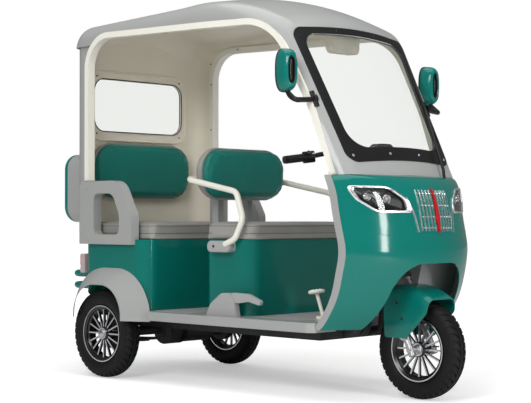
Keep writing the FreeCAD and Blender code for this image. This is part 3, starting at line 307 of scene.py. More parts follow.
def lathe(profile, segments, matrix=Matrix()):
    """(radius, height) points turned round the matrix's Z axis; ends on the axis close."""
    verts, faces, rows = [], [], []
    for radius, height in profile:
        if radius == 0:
            rows.append([len(verts)] * segments)
            verts.append(matrix @ Vector((0, 0, height)))
            continue
        rows.append(list(range(len(verts), len(verts) + segments)))
        for i in range(segments):
            angle = 2 * math.pi * i / segments
            verts.append(matrix @ Vector((radius * math.cos(angle), radius * math.sin(angle), height)))
    for low, high in zip(rows, rows[1:]):
        for i in range(segments):
            j = (i + 1) % segments
            ring = [low[i], low[j], high[j], high[i]]
            faces.append(list(dict.fromkeys(ring)))
    return verts, faces


def bridged(rings, capped=False, closed=False):
    """Faces between rings of points. The last ring can be capped, or joined to the first."""
    count = len(rings[0])
    verts = [v for ring in rings for v in ring]
    faces = []
    for j in range(len(rings) if closed else len(rings) - 1):
        k = (j + 1) % len(rings)
        for i in range(count):
            n = (i + 1) % count
            faces.append([j * count + i, j * count + n, k * count + n, k * count + i])
    if capped:
        faces.append([(len(rings) - 1) * count + i for i in range(count)])
    return verts, faces


def joined(forms):
    verts, faces = [], []
    for v, f in forms:
        faces += [[i + len(verts) for i in face] for face in f]
        verts += v
    return verts, faces


def facing(place, direction):
    """A matrix at a place whose Z axis looks along a direction."""
    turn = Vector(direction).to_track_quat("Z", "Y").to_matrix().to_4x4()
    return Matrix.Translation(Vector(place)) @ turn


def finished(obj, look, body, crease=crease_angle):
    if obj.type == "MESH":
        obj.data.set_sharp_from_angle(angle=math.radians(crease))
    obj.data.materials.append(materials[look])
    scene.collection.objects.link(obj)
    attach(obj, body)
    return obj


def piece(name, forms, look, body="body", crease=crease_angle):
    verts, faces = joined(forms)
    mesh = bpy.data.meshes.new(name)
    mesh.from_pydata([tuple(v) for v in verts], [], faces)
    fix = bmesh.new()
    fix.from_mesh(mesh)
    bmesh.ops.recalc_face_normals(fix, faces=fix.faces)
    fix.to_mesh(mesh)
    fix.free()
    mesh.shade_smooth()
    return finished(bpy.data.objects.new(name, mesh), look, body, crease)


def wire(name, runs, radius, look, body="body", closed=False):
    """Round lines that pass smoothly along points, such as seams, ridges and thin rods."""
    curve = bpy.data.curves.new(name, "CURVE")
    curve.dimensions = "3D"
    curve.bevel_depth = radius
    curve.bevel_resolution = wire_facets
    for points in runs:
        line = curve.splines.new("NURBS")
        line.points.add(len(points) - 1)
        for spot, point in zip(line.points, points):
            spot.co = (*point, 1)
        line.use_cyclic_u = closed
        line.order_u = 3
        line.use_endpoint_u = not closed
    return finished(bpy.data.objects.new(name, curve), look, body)


# A screw's domed head, with a recess or without, in shares of its radius and height
head_shares = ((1.0, 0.0), (0.97, 0.35), (0.8, 0.75), (0.52, 1.0))
recess_shares = ((0.45, 0.98), (0.38, 0.45), (0.0, 0.45))
crown_shares = ((0.25, 1.06), (0.0, 1.08))


def heads(places, size, recess=True):
    """Screw heads of one (radius, height) size at (place, direction) pairs."""
    radius, height = size
    shares = head_shares + (recess_shares if recess else crown_shares)
    profile = [(radius * across, height * up) for across, up in shares]
    return [lathe(profile, head_facets, facing(place, direction)) for place, direction in places]


def surface(obj):
    """An object's faces, for finding points on them."""
    places = [v.co.copy() for v in obj.data.vertices]
    return BVHTree.FromPolygons(places, [list(p.vertices) for p in obj.data.polygons])


def hit(tree, start, direction):
    place, normal, _, _ = tree.ray_cast(Vector(start), Vector(direction))
    return place, normal


def landed(tree, starts, direction):
    """The points where a surface stops what is thrown at it from the starts."""
    places = [hit(tree, start, direction)[0] for start in starts]
    return [place for place in places if place is not None]


def rounded_loop(us, vs, radius, steps=6):
    """Points round a rounded rectangle."""
    points = []
    spots = ((us[1], vs[1], 0), (us[0], vs[1], 90), (us[0], vs[0], 180), (us[1], vs[0], 270))
    for u, v, start in spots:
        cu = u - radius if u == us[1] else u + radius
        cv = v - radius if v == vs[1] else v + radius
        for i in range(steps + 1):
            angle = math.radians(start + 90 * i / steps)
            points.append((cu + radius * math.cos(angle), cv + radius * math.sin(angle)))
    return points


def middle_of(node):
    low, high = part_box(node)
    return (Vector(low) + Vector(high)) / 2


def sided(point, side):
    return Vector((point[0], side * point[1], point[2]))


# Tyres with a slanted tread

tread_rows = (
    # place across the tyre, radius, in a groove round the tyre, in the slanted grooves
    (0.0000, 0.2160, 0, 0), (0.0060, 0.2159, 0, 0), (0.0072, 0.2158, 1, 0), (0.0108, 0.2156, 1, 0),
    (0.0120, 0.2155, 0, 0), (0.0135, 0.2154, 0, 1), (0.0200, 0.2146, 0, 1), (0.0270, 0.2128, 0, 1),
    (0.0330, 0.2100, 0, 1), (0.0375, 0.2062, 0, 1), (0.0402, 0.2015, 0, 1), (0.0420, 0.1970, 0, 1),
    (0.0430, 0.1940, 0, 0), (0.0440, 0.1900, 0, 0), (0.0448, 0.1895, 0, 0), (0.0458, 0.1800, 0, 0),
    (0.0455, 0.1715, 0, 0), (0.0442, 0.1630, 0, 0), (0.0420, 0.1550, 0, 0), (0.0395, 0.1495, 0, 0),
    (0.0365, 0.1455, 0, 0), (0.0335, 0.1425, 0, 0), (0.0308, 0.1405, 0, 0), (0.0285, 0.1290, 0, 0),
)
tread_columns = (
    # share of a pitch, in the groove
    (0.00, 0), (0.04, 1), (0.28, 1), (0.32, 0), (0.66, 0),
)
tread_pitches = 40
tread_lean = 1.5
tread_lean_width = 0.02
tread_crease = 28.0
groove_round = 0.0050
groove_slant = 0.0050


def make_tyre(node, body):
    centre = middle_of(node)
    rows = [(-y, *rest) for y, *rest in reversed(tread_rows[1:])] + list(tread_rows)
    columns = [(pitch + share, deep) for pitch in range(tread_pitches) for share, deep in tread_columns]
    rings = []
    for y, radius, around, slanted in rows:
        lean = tread_lean * (1 - math.exp(-abs(y) / tread_lean_width))
        ring = []
        for place, deep in columns:
            angle = 2 * math.pi * (place + lean) / tread_pitches
            reach = radius - groove_round * around - groove_slant * slanted * deep
            ring.append(centre + Vector((reach * math.cos(angle), y, reach * math.sin(angle))))
        rings.append(ring)
    form = bridged(rings, closed=True)
    tyre = piece(node.replace("tyre", "tread_tyre"), [form], "tyre", body, tread_crease)
    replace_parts(tyre, node)


# Hub caps, nuts and valves, from the middle of the rim

hub_face = 0.0305
hub_cap_profile = ((0.021, 0), (0.021, 0.004), (0.0185, 0.0075), (0.012, 0.009), (0.006, 0.0125), (0, 0.013))
hub_facets = 28
nut_count = 5
nut_circle = 0.0265
nut_turn = 0.3
nut_sunk = 0.001
nut_size = (0.0036, 0.004)
valve_place = (0.111, 0.022, 0.02)
valve_lean = (-0.75, 0.66, 0)
valve_profile = ((0.003, 0), (0.003, 0.02), (0.0042, 0.0205), (0.0042, 0.028), (0, 0.0285))
valve_facets = 10


def make_wheel_details(node, body, side):
    centre = middle_of(node)
    out = Vector((0, side, 0))
    face = centre + out * hub_face
    cap = lathe(hub_cap_profile, hub_facets, facing(face, out))
    nuts = []
    for i in range(nut_count):
        angle = 2 * math.pi * i / nut_count + nut_turn
        nuts.append((face + Vector((math.cos(angle), 0, math.sin(angle))) * nut_circle - out * nut_sunk, out))
    piece(node.replace("rim", "hub_cap"), [cap] + heads(nuts, nut_size), "bare", body)
    seat = facing(centre + sided(valve_place, side), sided(valve_lean, side))
    piece(node.replace("rim", "valve"), [lathe(valve_profile, valve_facets, seat)], "black", body)


def make_wheels():
    for tyre, rim, body, side in (
        ("front_tyre", "front_rim", "front_wheel", -1),
        ("rear_tyre_right", "rear_rim_right", "rear_wheel_right", -1),
        ("rear_tyre_left", "rear_rim_left", "rear_wheel_left", 1),
    ):
        make_tyre(tyre, body)
        make_wheel_details(rim, body, side)


# Padded seats: a cover is held within a rest of its support, and the backrests' CAD solids have
# corners of radius backrest_corner

cloth_pressure = 4.0
cloth_frames = 20
cloth_quality = 5
least_move = 1e-7
relax_rounds = 3
crown_edge = 0.10

cushions = (
    # CAD node, body, voxel size
    ("driver_seat_cushion", "driver_seat", 0.010),
    ("bench_cushion", "bench_seat", 0.012),
)
cushion_crown = 0.003
cushion_rest = 0.006
cushion_seam_shares = (0.36, 0.80)
cushion_seam_corner = 0.07
cushion_seam_inner = 0.11
cushion_thread = 0.0014

backrests = (
    # front pad, what lies behind it, name, voxel size, corner radius of the cover
    ("driver_backrest_pad", "driver_backrest_back", "driver_backrest", 0.008, 0.112),
    ("bench_backrest_pad", "bench_backrest_band", "bench_backrest", 0.009, 0.118),
)
backrest_corner = 0.090
backrest_crown = 0.004
backrest_rest = 0.005
backing_rest = 0.004
backrest_seam_share = 0.30
backrest_seam_corner = 0.11
backrest_seam_inner = 0.12
backrest_thread = 0.0013
seam_throw = 0.03


def evaluated(obj):
    bpy.context.view_layer.update()
    return bpy.data.meshes.new_from_object(obj.evaluated_get(bpy.context.evaluated_depsgraph_get()))


def applied(obj):
    """Turns an object's modifiers into its mesh."""
    obj.data = evaluated(obj)
    obj.modifiers.clear()


def swell(obj, held, cap):
    """Inflates a cover with the cloth solver, holding the points that rest on something."""
    rest = [v.co.copy() for v in obj.data.vertices]
    pins = obj.vertex_groups.new(name="held")
    pins.add([i for i, co in enumerate(rest) if held(co)], 1.0, "REPLACE")
    cloth = obj.modifiers.new("Cloth", "CLOTH")
    cloth.settings.quality = cloth_quality
    cloth.settings.use_pressure = True
    cloth.settings.uniform_pressure_force = cloth_pressure
    cloth.settings.vertex_group_mass = "held"
    cloth.settings.effector_weights.gravity = 0
    for number in range(1, cloth_frames + 1):
        scene.frame_set(number)
    swollen = [v.co.copy() for v in evaluated(obj).vertices]
    obj.modifiers.clear()
    scene.frame_set(1)
    for v, start, end in zip(obj.data.vertices, rest, swollen):
        move = end - start
        v.co = start + move.normalized() * min(move.length, cap) if move.length > least_move else start


def spans_of(obj):
    """The least and the greatest of a mesh's points along each axis."""
    cos = [v.co for v in obj.data.vertices]
    return [min(c[i] for c in cos) for i in range(3)], [max(c[i] for c in cos) for i in range(3)]


def crowned(obj, axis, rise):
    """Raises the middle of a pad's face, falling off towards its edges."""
    low, high = map(Vector, spans_of(obj))
    depth = high[axis] - low[axis]
    for v in obj.data.vertices:
        share = 1.0
        for i in range(3):
            if i != axis:
                gap = min(v.co[i] - low[i], high[i] - v.co[i])
                share *= math.sin(min(1.0, gap / crown_edge) * math.pi / 2)
        near = max(0.0, 1 - abs(high[axis] - v.co[axis]) / depth)
        v.co[axis] += rise * share * near


def rounded_corners(obj, axes, before, after):
    """Widens the corner radius of a pad's outline by drawing its corners in."""
    low, high = spans_of(obj)
    mids = [(high[i] + low[i]) / 2 for i in axes]
    halves = [(high[i] - low[i]) / 2 for i in axes]
    shift = after - before
    for v in obj.data.vertices:
        out = [abs(v.co[i] - mid) - half + after for i, mid, half in zip(axes, mids, halves)]
        if min(out) <= 0:
            continue
        length = math.hypot(*out)
        a, b = out[0] / length, out[1] / length
        reach = after / max(a, b)
        if reach * min(a, b) > shift:
            along = shift * (a + b)
            reach = along + math.sqrt(max(0, along ** 2 - 2 * shift ** 2 + before ** 2))
        scale = min(1.0, after / reach)
        for i, mid, half, gap in zip(axes, mids, halves, out):
            sign = 1 if v.co[i] > mid else -1
            v.co[i] = mid + sign * (half - after + gap * scale)


def pad(node, body, look, voxel, inset, cap, held, crown=None, corner=None):
    """A sewn cover over foam, made from its CAD solid: shrunk a little, then swollen and crowned."""
    cover = bpy.data.objects.new(node + "_cover", nodes[node].data.copy())
    scene.collection.objects.link(cover)
    remesh = cover.modifiers.new("remesh", "REMESH")
    remesh.mode = "VOXEL"
    remesh.voxel_size = voxel
    applied(cover)
    for v in cover.data.vertices:
        if not held(v.co):
            v.co -= v.normal * inset
    relax = cover.modifiers.new("relax", "SMOOTH")
    relax.iterations = relax_rounds
    applied(cover)
    swell(cover, held, cap)
    if corner:
        rounded_corners(cover, (1, 2), backrest_corner, corner)
    if crown:
        crowned(cover, *crown)
    smooth = cover.modifiers.new("smooth", "SUBSURF")
    smooth.levels = 1
    applied(cover)
    dress(cover, look)
    cover.data.shade_smooth()
    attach(cover, body)
    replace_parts(cover, node)
    return cover


def seam(name, cover, node, axis, level, corner, inner, radius, look, body):
    """A sewn line round a cover, level along one axis: points round its node's box are thrown
    onto the cover, towards the box drawn in."""
    tree = surface(cover)
    low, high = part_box(node)
    spans = [(low[i] - seam_throw, high[i] + seam_throw) for i in range(3) if i != axis]
    points = []
    for point in rounded_loop(*spans, corner, loop_steps):
        spot = Vector((*point[:axis], level, *point[axis:]))
        aim = [min(max(s, a + inner), b - inner) for s, a, b in zip(spot, low, high)]
        aim[axis] = spot[axis]
        points += landed(tree, [spot], (Vector(aim) - spot).normalized())
    wire(name, [points], radius, look, body, closed=True)


def make_cushions():
    for node, body, voxel in cushions:
        low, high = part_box(node)
        cover = pad(node, body, "seat grey", voxel, inset=0.004, cap=0.006,
                    held=lambda co: co.z < low[2] + cushion_rest, crown=(2, cushion_crown))
        for number, share in enumerate(cushion_seam_shares):
            level = low[2] + (high[2] - low[2]) * share
            seam(body + "_seam_%d" % number, cover, node, 2, level, cushion_seam_corner, cushion_seam_inner,
                 cushion_thread, "thread", body)


def make_backrests():
    for node, back, name, voxel, corner in backrests:
        low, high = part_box(node)
        cover = pad(node, "body", "seat teal", voxel, inset=0.004, cap=0.007,
                    held=lambda co: co.x < low[0] + backrest_rest, crown=(0, backrest_crown), corner=corner)
        level = low[0] + (high[0] - low[0]) * backrest_seam_share
        seam(name + "_seam", cover, node, 0, level, backrest_seam_corner, backrest_seam_inner,
             backrest_thread, "teal seam", "body")
        (rear, _, _), (front, _, _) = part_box(back)
        pad(back, "body", "seat grey", voxel, inset=0.001, cap=0.002,
            held=lambda co: co.x > front - backing_rest or co.x < rear + backing_rest, corner=corner)


# Headlamps

lamp_corners = (
    # distance from the middle, height, corner radius
    (0.402, 0.9214, 0.017), (0.2356, 0.9197, 0.090), (0.1501, 0.8582, 0.039), (0.146, 0.806, 0.012),
    (0.2996, 0.806, 0.070), (0.3713, 0.8582, 0.060),
)
lamp_middle = Vector((0.276, 0.868))
lamp_ahead_x = 1.3
lamp_glass_shares = (1.0, 0.97, 0.93, 0.88, 0.8, 0.7, 0.5, 0.0)
lamp_glass_else_x = 0.95
lamp_edge_shares = (1.0, 0.98, 0.95, 0.9)
lamp_edge_else_x = 0.9
lamp_bowl_rings = (
    # share of the outline, depth behind the lens
    (0.84, 0.005), (0.82, 0.022), (0.62, 0.030), (0.30, 0.033), (0.02, 0.034),
)
lamp_lip_rings = (
    # share of the outline, depth behind what lies foremost there
    (1.0, 0.003), (0.99, -0.0016), (0.965, -0.0034), (0.90, -0.0036), (0.85, -0.0020), (0.835, 0.001),
    (0.83, 0.008),
)
lamp_cups = (
    # distance from the middle, height, radius
    (0.314, 0.873, 0.018), (0.234, 0.864, 0.020),
)
cup_depth = 0.034
cup_lean = (1, 0.25, 0)
cup_profile = (
    # share of the cup's radius, height
    (1.0, 0), (1.0, 0.012), (0.92, 0.0135), (0.84, 0.012), (0.76, 0.004), (0, 0.003),
)
cup_facets = 36
globe_profile = ((0.66, 0.003), (0.62, 0.011), (0.40, 0.017), (0, 0.0195))
globe_facets = 28


def rounded_outline(corners, steps=5):
    """Points round a polygon whose corners are drawn in."""
    points = []
    count = len(corners)
    for i, (u, v, radius) in enumerate(corners):
        here = Vector((u, v))
        back = (Vector(corners[i - 1][:2]) - here).normalized()
        ahead = (Vector(corners[(i + 1) % count][:2]) - here).normalized()
        reach = radius / math.tan(back.angle(ahead) / 2)
        start, end = here + back * reach, here + ahead * reach
        for k in range(steps + 1):
            t = k / steps
            points.append(start * (1 - t) ** 2 + here * 2 * t * (1 - t) + end * t ** 2)
    return points


def towards_middle(point, share):
    return lamp_middle + (point - lamp_middle) * share


def foremost(trees, shares, fallback, side, point):
    """How far forward the surfaces reach at a point of a lamp, or else nearer to its middle."""
    for share in shares:
        u, v = towards_middle(point, share)
        start = (lamp_ahead_x, side * u, v)
        found = [place.x for tree in trees for place in landed(tree, [start], (-1, 0, 0))]
        if found:
            return max(found)
    return fallback


def make_headlamps():
    clear = surface(nodes["headlamp_lenses"])
    around = [surface(nodes["front_cowl"]), surface(nodes["headlamp_bezels"]), clear]
    lens_front = ([clear], lamp_glass_shares, lamp_glass_else_x)
    edge_front = (around, lamp_edge_shares, lamp_edge_else_x)
    outline = rounded_outline(lamp_corners)

    def rings(side, table, front):
        found = []
        for share, depth in table:
            points = [towards_middle(point, share) for point in outline]
            found.append([Vector((foremost(*front, side, p) - depth, side * p.x, p.y)) for p in points])
        return found

    for side, name in both_sides:
        piece("headlamp_bowl_" + name, [bridged(rings(side, lamp_bowl_rings, lens_front))], "lamp black")
        piece("headlamp_rim_" + name, [bridged(rings(side, lamp_lip_rings, edge_front))], "trim chrome")
        cups, globes = [], []
        for u, v, radius in lamp_cups:
            x = foremost(*lens_front, side, Vector((u, v))) - cup_depth
            seat = facing((x, side * u, v), sided(cup_lean, side))
            cups.append(lathe([(radius * r, h) for r, h in cup_profile], cup_facets, seat))
            globes.append(lathe([(radius * r, h) for r, h in globe_profile], globe_facets, seat))
        piece("headlamp_reflectors_" + name, cups, "chrome")
        piece("headlamp_globes_" + name, globes, "lamp pale")


# Mirrors: each ring is (share of the depth from the glass, of the width, of the height)

mirror_half_y = 0.042
mirror_y = 0.496
mirror_turns = {"right": -16.0, "left": -6.0}
mirror_power = 2.7
mirror_facets = 44
shell_rings = (
    (0.10, 0.97, 0.985), (0.16, 1.0, 1.0), (0.40, 0.985, 0.99), (0.62, 0.93, 0.96), (0.80, 0.84, 0.90),
    (0.93, 0.70, 0.82), (1.0, 0.55, 0.72), (1.0, 0.47, 0.66), (0.95, 0.42, 0.63),
)
hollow_rings = (
    (0.955, 0.425, 0.632), (0.93, 0.36, 0.57), (0.80, 0.30, 0.50), (0.76, 0.15, 0.3), (0.75, 0.01, 0.02),
)
mirror_rim_rings = (
    (0.14, 1.0, 1.0), (0.12, 1.035, 1.015), (0.03, 1.03, 1.01), (0.0, 0.98, 0.99), (0.01, 0.92, 0.965),
    (0.05, 0.90, 0.96),
)
pane_rings = ((0.05, 0.91, 0.963), (0.035, 0.89, 0.95), (0.02, 0.5, 0.55), (0.018, 0.01, 0.01))
arm_elbow = (0.650, 0.500, 1.284)
arm_base = (0.653, 0.392, 1.292)
arm_top_y = 0.498
arm_top_sunk = 0.004
arm_neck = (0.01, 0, -0.022)
arm_shares = (0.3, 0.75)
arm_radius = 0.0115
arm_foot_profile = ((0.024, 0), (0.024, 0.008), (0.019, 0.013), (0, 0.0135))
arm_foot_facets = 24
arm_foot_sunk = 0.006


def superellipse(half_y, half_z):
    """Points round an oval that is fuller than an ellipse."""
    points = []
    for i in range(mirror_facets):
        angle = 2 * math.pi * i / mirror_facets
        point = []
        for wave, half in ((math.cos(angle), half_y), (math.sin(angle), half_z)):
            point.append(math.copysign(abs(wave) ** (2 / mirror_power), wave) * half)
        points.append(point)
    return points


def make_mirror_arm(side, name, low, high):
    elbow, base = sided(arm_elbow, side), sided(arm_base, side)
    top = Vector(((low[0] + high[0]) / 2, side * arm_top_y, low[2] + arm_top_sunk))
    run = [top, top + Vector(arm_neck), elbow] + [elbow.lerp(base, share) for share in arm_shares] + [base]
    wire("mirror_arm_cover_" + name, [run], arm_radius, "black")
    seat = facing(base + Vector((0, -side * arm_foot_sunk, 0)), (0, side, 0))
    piece("mirror_foot_" + name, [lathe(arm_foot_profile, arm_foot_facets, seat)], "black")


def make_mirrors():
    """Each head is an oval shell with a dark hollow in its front and a black rim round its glass."""
    low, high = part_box("mirror_heads")
    depth = high[0] - low[0]
    outline = superellipse(mirror_half_y, (high[2] - low[2]) / 2)
    shells = []
    for side, name in both_sides:
        middle = Vector(((low[0] + high[0]) / 2, side * mirror_y, (low[2] + high[2]) / 2))
        turned = Matrix.Rotation(math.radians(mirror_turns[name]), 3, "Z")

        def form(rings):
            found = []
            for along, wide, tall in rings:
                x = (along - 0.5) * depth
                found.append([middle + turned @ Vector((x, y * wide, z * tall)) for y, z in outline])
            return bridged(found)

        shells.append(form(shell_rings))
        piece("mirror_hollow_" + name, [form(hollow_rings)], "lamp black")
        piece("mirror_rim_" + name, [form(mirror_rim_rings)], "black")
        piece("mirror_glass_" + name, [form(pane_rings)], "mirror")
        make_mirror_arm(side, name, low, high)
    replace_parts(piece("mirror_shells", shells, "teal"), "mirror_heads")


# Screws, clips and bolts

screen_lean = math.radians(116.7)
screen_foot = Vector((0.887, 0, 0.970))
screen_spots = (
    # distance up the windshield's frame, distance from its middle
    (0.105, 0.318), (0.42, 0.348), (0.70, 0.352), (0.105, 0.10), (0.731, 0.13),
)
screen_low_row = 0.2
screen_throw = 0.2
screen_screw_size = (0.0062, 0.003)
trim_y = 0.4098
trim_post_x = -0.826
trim_post_zs = (1.625, 1.514, 1.267, 1.158, 1.02)
trim_roof_xs = (-0.62, -0.30, 0.05, 0.34)
roof_edge_z = 1.706
roof_edge_rear_x = -0.84
roof_edge_slope = 0.028
trim_clip_drop = 0.012
trim_clip_size = (0.0042, 0.0026)
inside_x = -0.5
window_screw_ys = (-0.285, 0.285)
window_screw_zs = (1.2225, 1.5185)
window_screw_size = (0.005, 0.003)
fender_bolt_spots = ((0.873, 0.417), (0.901, 0.350))
fender_bolt_size = (0.0065, 0.0045)
fender_outside_y = 0.3
armrest_bolt_spots = ((-0.80, 0.68), (-0.50, 0.68), (-0.80, 0.935))
armrest_bolt_size = (0.006, 0.003)
armrest_outside_y = 0.7
bracket_x = (-0.014, 0.132)
bracket_z = (0.628, 0.680)
bracket_corner = 0.022
bracket_rings = (
    # growth of the outline, distance from the vehicle's middle
    (0, 0.352), (0.0005, 0.384), (-0.002, 0.3885), (-0.006, 0.3895),
)
rail_bolt_place = (0.030, 0.3895, 0.655)
rail_bolt_size = (0.0065, 0.003)


def make_screen_screws():
    screen = surface(nodes["windshield_frame"])
    up = Vector((math.cos(screen_lean), 0, math.sin(screen_lean)))
    out = Vector((math.sin(screen_lean), 0, -math.cos(screen_lean)))
    low_row, high_row = [], []
    for along, across in screen_spots:
        for side, _ in both_sides:
            start = screen_foot + up * along + Vector((0, side * across, 0)) + out * screen_throw
            place, normal = hit(screen, start, -out)
            if place is not None:
                row = low_row if along < screen_low_row else high_row
                row.append((place, normal if normal.dot(out) > 0 else -normal))
    piece("screen_screws_low", heads(low_row, screen_screw_size), "bare")
    piece("screen_screws_high", heads(high_row, screen_screw_size), "gloss black")


def make_trim_clips():
    clips = []
    for side, _ in both_sides:
        spots = [(trim_post_x, z) for z in trim_post_zs]
        for x in trim_roof_xs:
            spots.append((x, roof_edge_z - roof_edge_slope * (x - roof_edge_rear_x) - trim_clip_drop))
        clips += [((x, side * trim_y, z), (0, -side, 0)) for x, z in spots]
    piece("trim_clips", heads(clips, trim_clip_size, recess=False), "black")


def make_window_screws():
    starts = [(inside_x, y, z) for y in window_screw_ys for z in window_screw_zs]
    places = landed(surface(nodes["roof_lining"]), starts, (-1, 0, 0))
    piece("window_screws", heads([(place, (1, 0, 0)) for place in places], window_screw_size), "black")


def side_bolts(node, spots, outside_y):
    """Bolts' places on both sides of a node, looking outwards, at (x, z) spots."""
    tree = surface(nodes[node])
    bolts = []
    for side, _ in both_sides:
        starts = [(x, side * outside_y, z) for x, z in spots]
        bolts += [(place, (0, side, 0)) for place in landed(tree, starts, (0, -side, 0))]
    return bolts


def make_rail_brackets():
    covers, bolts = [], []
    for side, _ in both_sides:
        rings = []
        for grow, out in bracket_rings:
            us, vs = [(low - grow, high + grow) for low, high in (bracket_x, bracket_z)]
            rings.append([Vector((x, side * out, z)) for x, z in rounded_loop(us, vs, bracket_corner + grow)])
        covers.append(bridged(rings, capped=True))
        bolts.append((sided(rail_bolt_place, side), (0, side, 0)))
    piece("rail_bracket_covers", covers, "grey plastic")
    piece("rail_bolts", heads(bolts, rail_bolt_size), "gloss black")


def make_fastenings():
    make_screen_screws()
    make_trim_clips()
    make_window_screws()
    bolts = side_bolts("front_fender", fender_bolt_spots, fender_outside_y)
    piece("fender_bolts", heads(bolts, fender_bolt_size), "gloss black", "steering")
    make_rail_brackets()
    bolts = side_bolts("armrests", armrest_bolt_spots, armrest_outside_y)
    piece("armrest_bolts", heads(bolts, armrest_bolt_size), "grey")


# The rear window's seals and surround, and the cowl's pressed lines

window_y = (-0.3025, 0.3025)
window_z = (1.2345, 1.5075)
window_corner = 0.066
window_middle_z = 1.37
surround_y = (-0.334, 0.334)
surround_z = (1.190, 1.546)
surround_corner = 0.075
surround_radius = 0.0045
surround_sunk = 0.0022
behind_x = -1.3
before_x = 1.4
crease_lines = (
    # height, start and end across the cowl, rise
    (0.700, 0.20, 0.385, 0.03), (0.708, 0.0, 0.118, 0.0),
)
crease_steps = 12
crease_least = 4
crease_sunk = 0.0006


def window_edge(tree, start_x, toward, aside, fallback_x, proud=0.0004):
    """A loop round the rear window, as far back or forward as the wall just outside it."""
    loop = []
    for y, z in rounded_loop(window_y, window_z, window_corner, loop_steps):
        outer_y = y + (aside if y > 0 else -aside)
        outer_z = z + (aside if z > window_middle_z else -aside)
        place, _ = hit(tree, (start_x, outer_y, outer_z), (toward, 0, 0))
        loop.append(((place.x if place is not None else fallback_x) - toward * proud, y, z))
    return loop


def make_seals():
    lining = surface(nodes["roof_lining"])
    wall = surface(nodes["rear_panel"])
    edge = window_edge(lining, inside_x, -1, aside=0.004, fallback_x=-0.968)
    wire("rear_window_seal", [edge], 0.0026, "seal", closed=True)
    starts = [(inside_x, y, z) for y, z in rounded_loop(surround_y, surround_z, surround_corner, loop_steps)]
    ridge = [place - Vector((surround_sunk, 0, 0)) for place in landed(lining, starts, (-1, 0, 0))]
    wire("window_surround", [ridge], surround_radius, "cream", closed=True)
    edge = window_edge(wall, behind_x, 1, aside=0.006, fallback_x=-0.98)
    wire("rear_window_gasket", [edge], 0.0032, "seal", closed=True)


def make_creases():
    cowl = surface(nodes["front_cowl"])
    creases = []
    for z, start, end, rise in crease_lines:
        for side, _ in both_sides:
            spots = []
            for k in range(crease_steps + 1):
                y = side * (start + (end - start) * k / crease_steps)
                spots.append((before_x, y, z + rise * (k / crease_steps)))
            run = [place + Vector((-crease_sunk, 0, 0)) for place in landed(cowl, spots, (-1, 0, 0))]
            if len(run) >= crease_least:
                creases.append(run)
    wire("cowl_crease", creases, 0.0013, "teal")


# Handlebar fittings, the pedal's pad and the cluster's screen

grip_end = (0.435, 0.340, 1.041)
grip_shoulder = (0.473, 0.230, 1.056)
grip_ribs = 9
grip_rib_start = 0.008
grip_rib_pitch = 0.010
grip_rib_profile = ((0.0166, -0.0030), (0.0182, -0.0018), (0.0182, 0.0018), (0.0166, 0.0030))
grip_rib_facets = 24
flange_along = 0.0985
flange_profile = ((0.016, -0.004), (0.0235, -0.003), (0.0235, 0.001), (0.016, 0.002))
flange_facets = 28
switch_along = 0.121
top_button_out = 0.0255
top_button_lean = 0.2
top_button_size = (0.006, 0.004)
rear_button_place = (-0.0205, 0, 0.008)
rear_button_lean = (-1, 0, 0.1)
rear_button_size = (0.005, 0.004)
lever_pivot_place = (0.030, 0, 0.012)
lever_pivot_size = (0.009, 0.006)
pedal_lean = (-0.18, 0, 1)
pedal_x = 0.015
pedal_drop = 0.011
pedal_profile = (
    (0.010, -0.006), (0.034, -0.003), (0.037, 0.001), (0.037, 0.008), (0.034, 0.0115), (0, 0.012),
)
pedal_facets = 32
stud_spots = (
    (0, 0), (0.02, 0), (-0.02, 0), (0, 0.02), (0, -0.02),
    (0.014, 0.014), (-0.014, 0.014), (0.014, -0.014), (-0.014, -0.014),
)
stud_level = 0.0115
stud_size = (0.004, 0.003)
cluster_margin = 0.014
cluster_z = (1.052, 1.098)
cluster_corner = 0.012
cluster_proud = 0.0006


def make_bar_fittings():
    """Ribs on the grips, buttons beside them, and the brake levers' pivots."""
    ribs, buttons, pivots = [], [], []
    for side, _ in both_sides:
        end, shoulder = sided(grip_end, side), sided(grip_shoulder, side)
        along = (shoulder - end).normalized()
        for k in range(grip_ribs):
            spot = end + along * (grip_rib_start + grip_rib_pitch * k)
            ribs.append(lathe(grip_rib_profile, grip_rib_facets, facing(spot, along)))
        ribs.append(lathe(flange_profile, flange_facets, facing(end + along * flange_along, along)))
        switch = end + along * switch_along
        up = Vector((-along.z * top_button_lean, 0, 1)).normalized()
        buttons += heads([(switch + up * top_button_out, up)], top_button_size, recess=False)
        rear = switch + Vector(rear_button_place)
        buttons += heads([(rear, rear_button_lean)], rear_button_size, recess=False)
        pivots += heads([(switch + Vector(lever_pivot_place), (0, 0, 1))], lever_pivot_size)
    piece("grip_ribs", ribs, "black", "steering")
    piece("bar_buttons", buttons, "red", "steering")
    piece("lever_pivots", pivots, "bare", "steering")


def make_pedal_pad():
    low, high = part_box("brake_pedal")
    seat = facing((low[0] + pedal_x, (low[1] + high[1]) / 2, high[2] - pedal_drop), pedal_lean)
    disc = lathe(pedal_profile, pedal_facets, seat)
    studs = [(seat @ Vector((x, y, stud_level)), pedal_lean) for x, y in stud_spots]
    piece("pedal_pad", [disc] + heads(studs, stud_size, recess=False), "ivory")


def make_cluster_screen():
    low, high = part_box("cluster")
    x = low[0] - cluster_proud
    outline = rounded_loop((low[1] + cluster_margin, high[1] - cluster_margin), cluster_z, cluster_corner)
    verts = [Vector((x, y, z)) for y, z in outline]
    centre = len(verts)
    verts.append(Vector((x, 0, sum(cluster_z) / 2)))
    faces = [[i, (i + 1) % centre, centre] for i in range(centre)]
    piece("cluster_screen", [(verts, faces)], "gloss black")


# Tail lamps and the cab floor's ribs

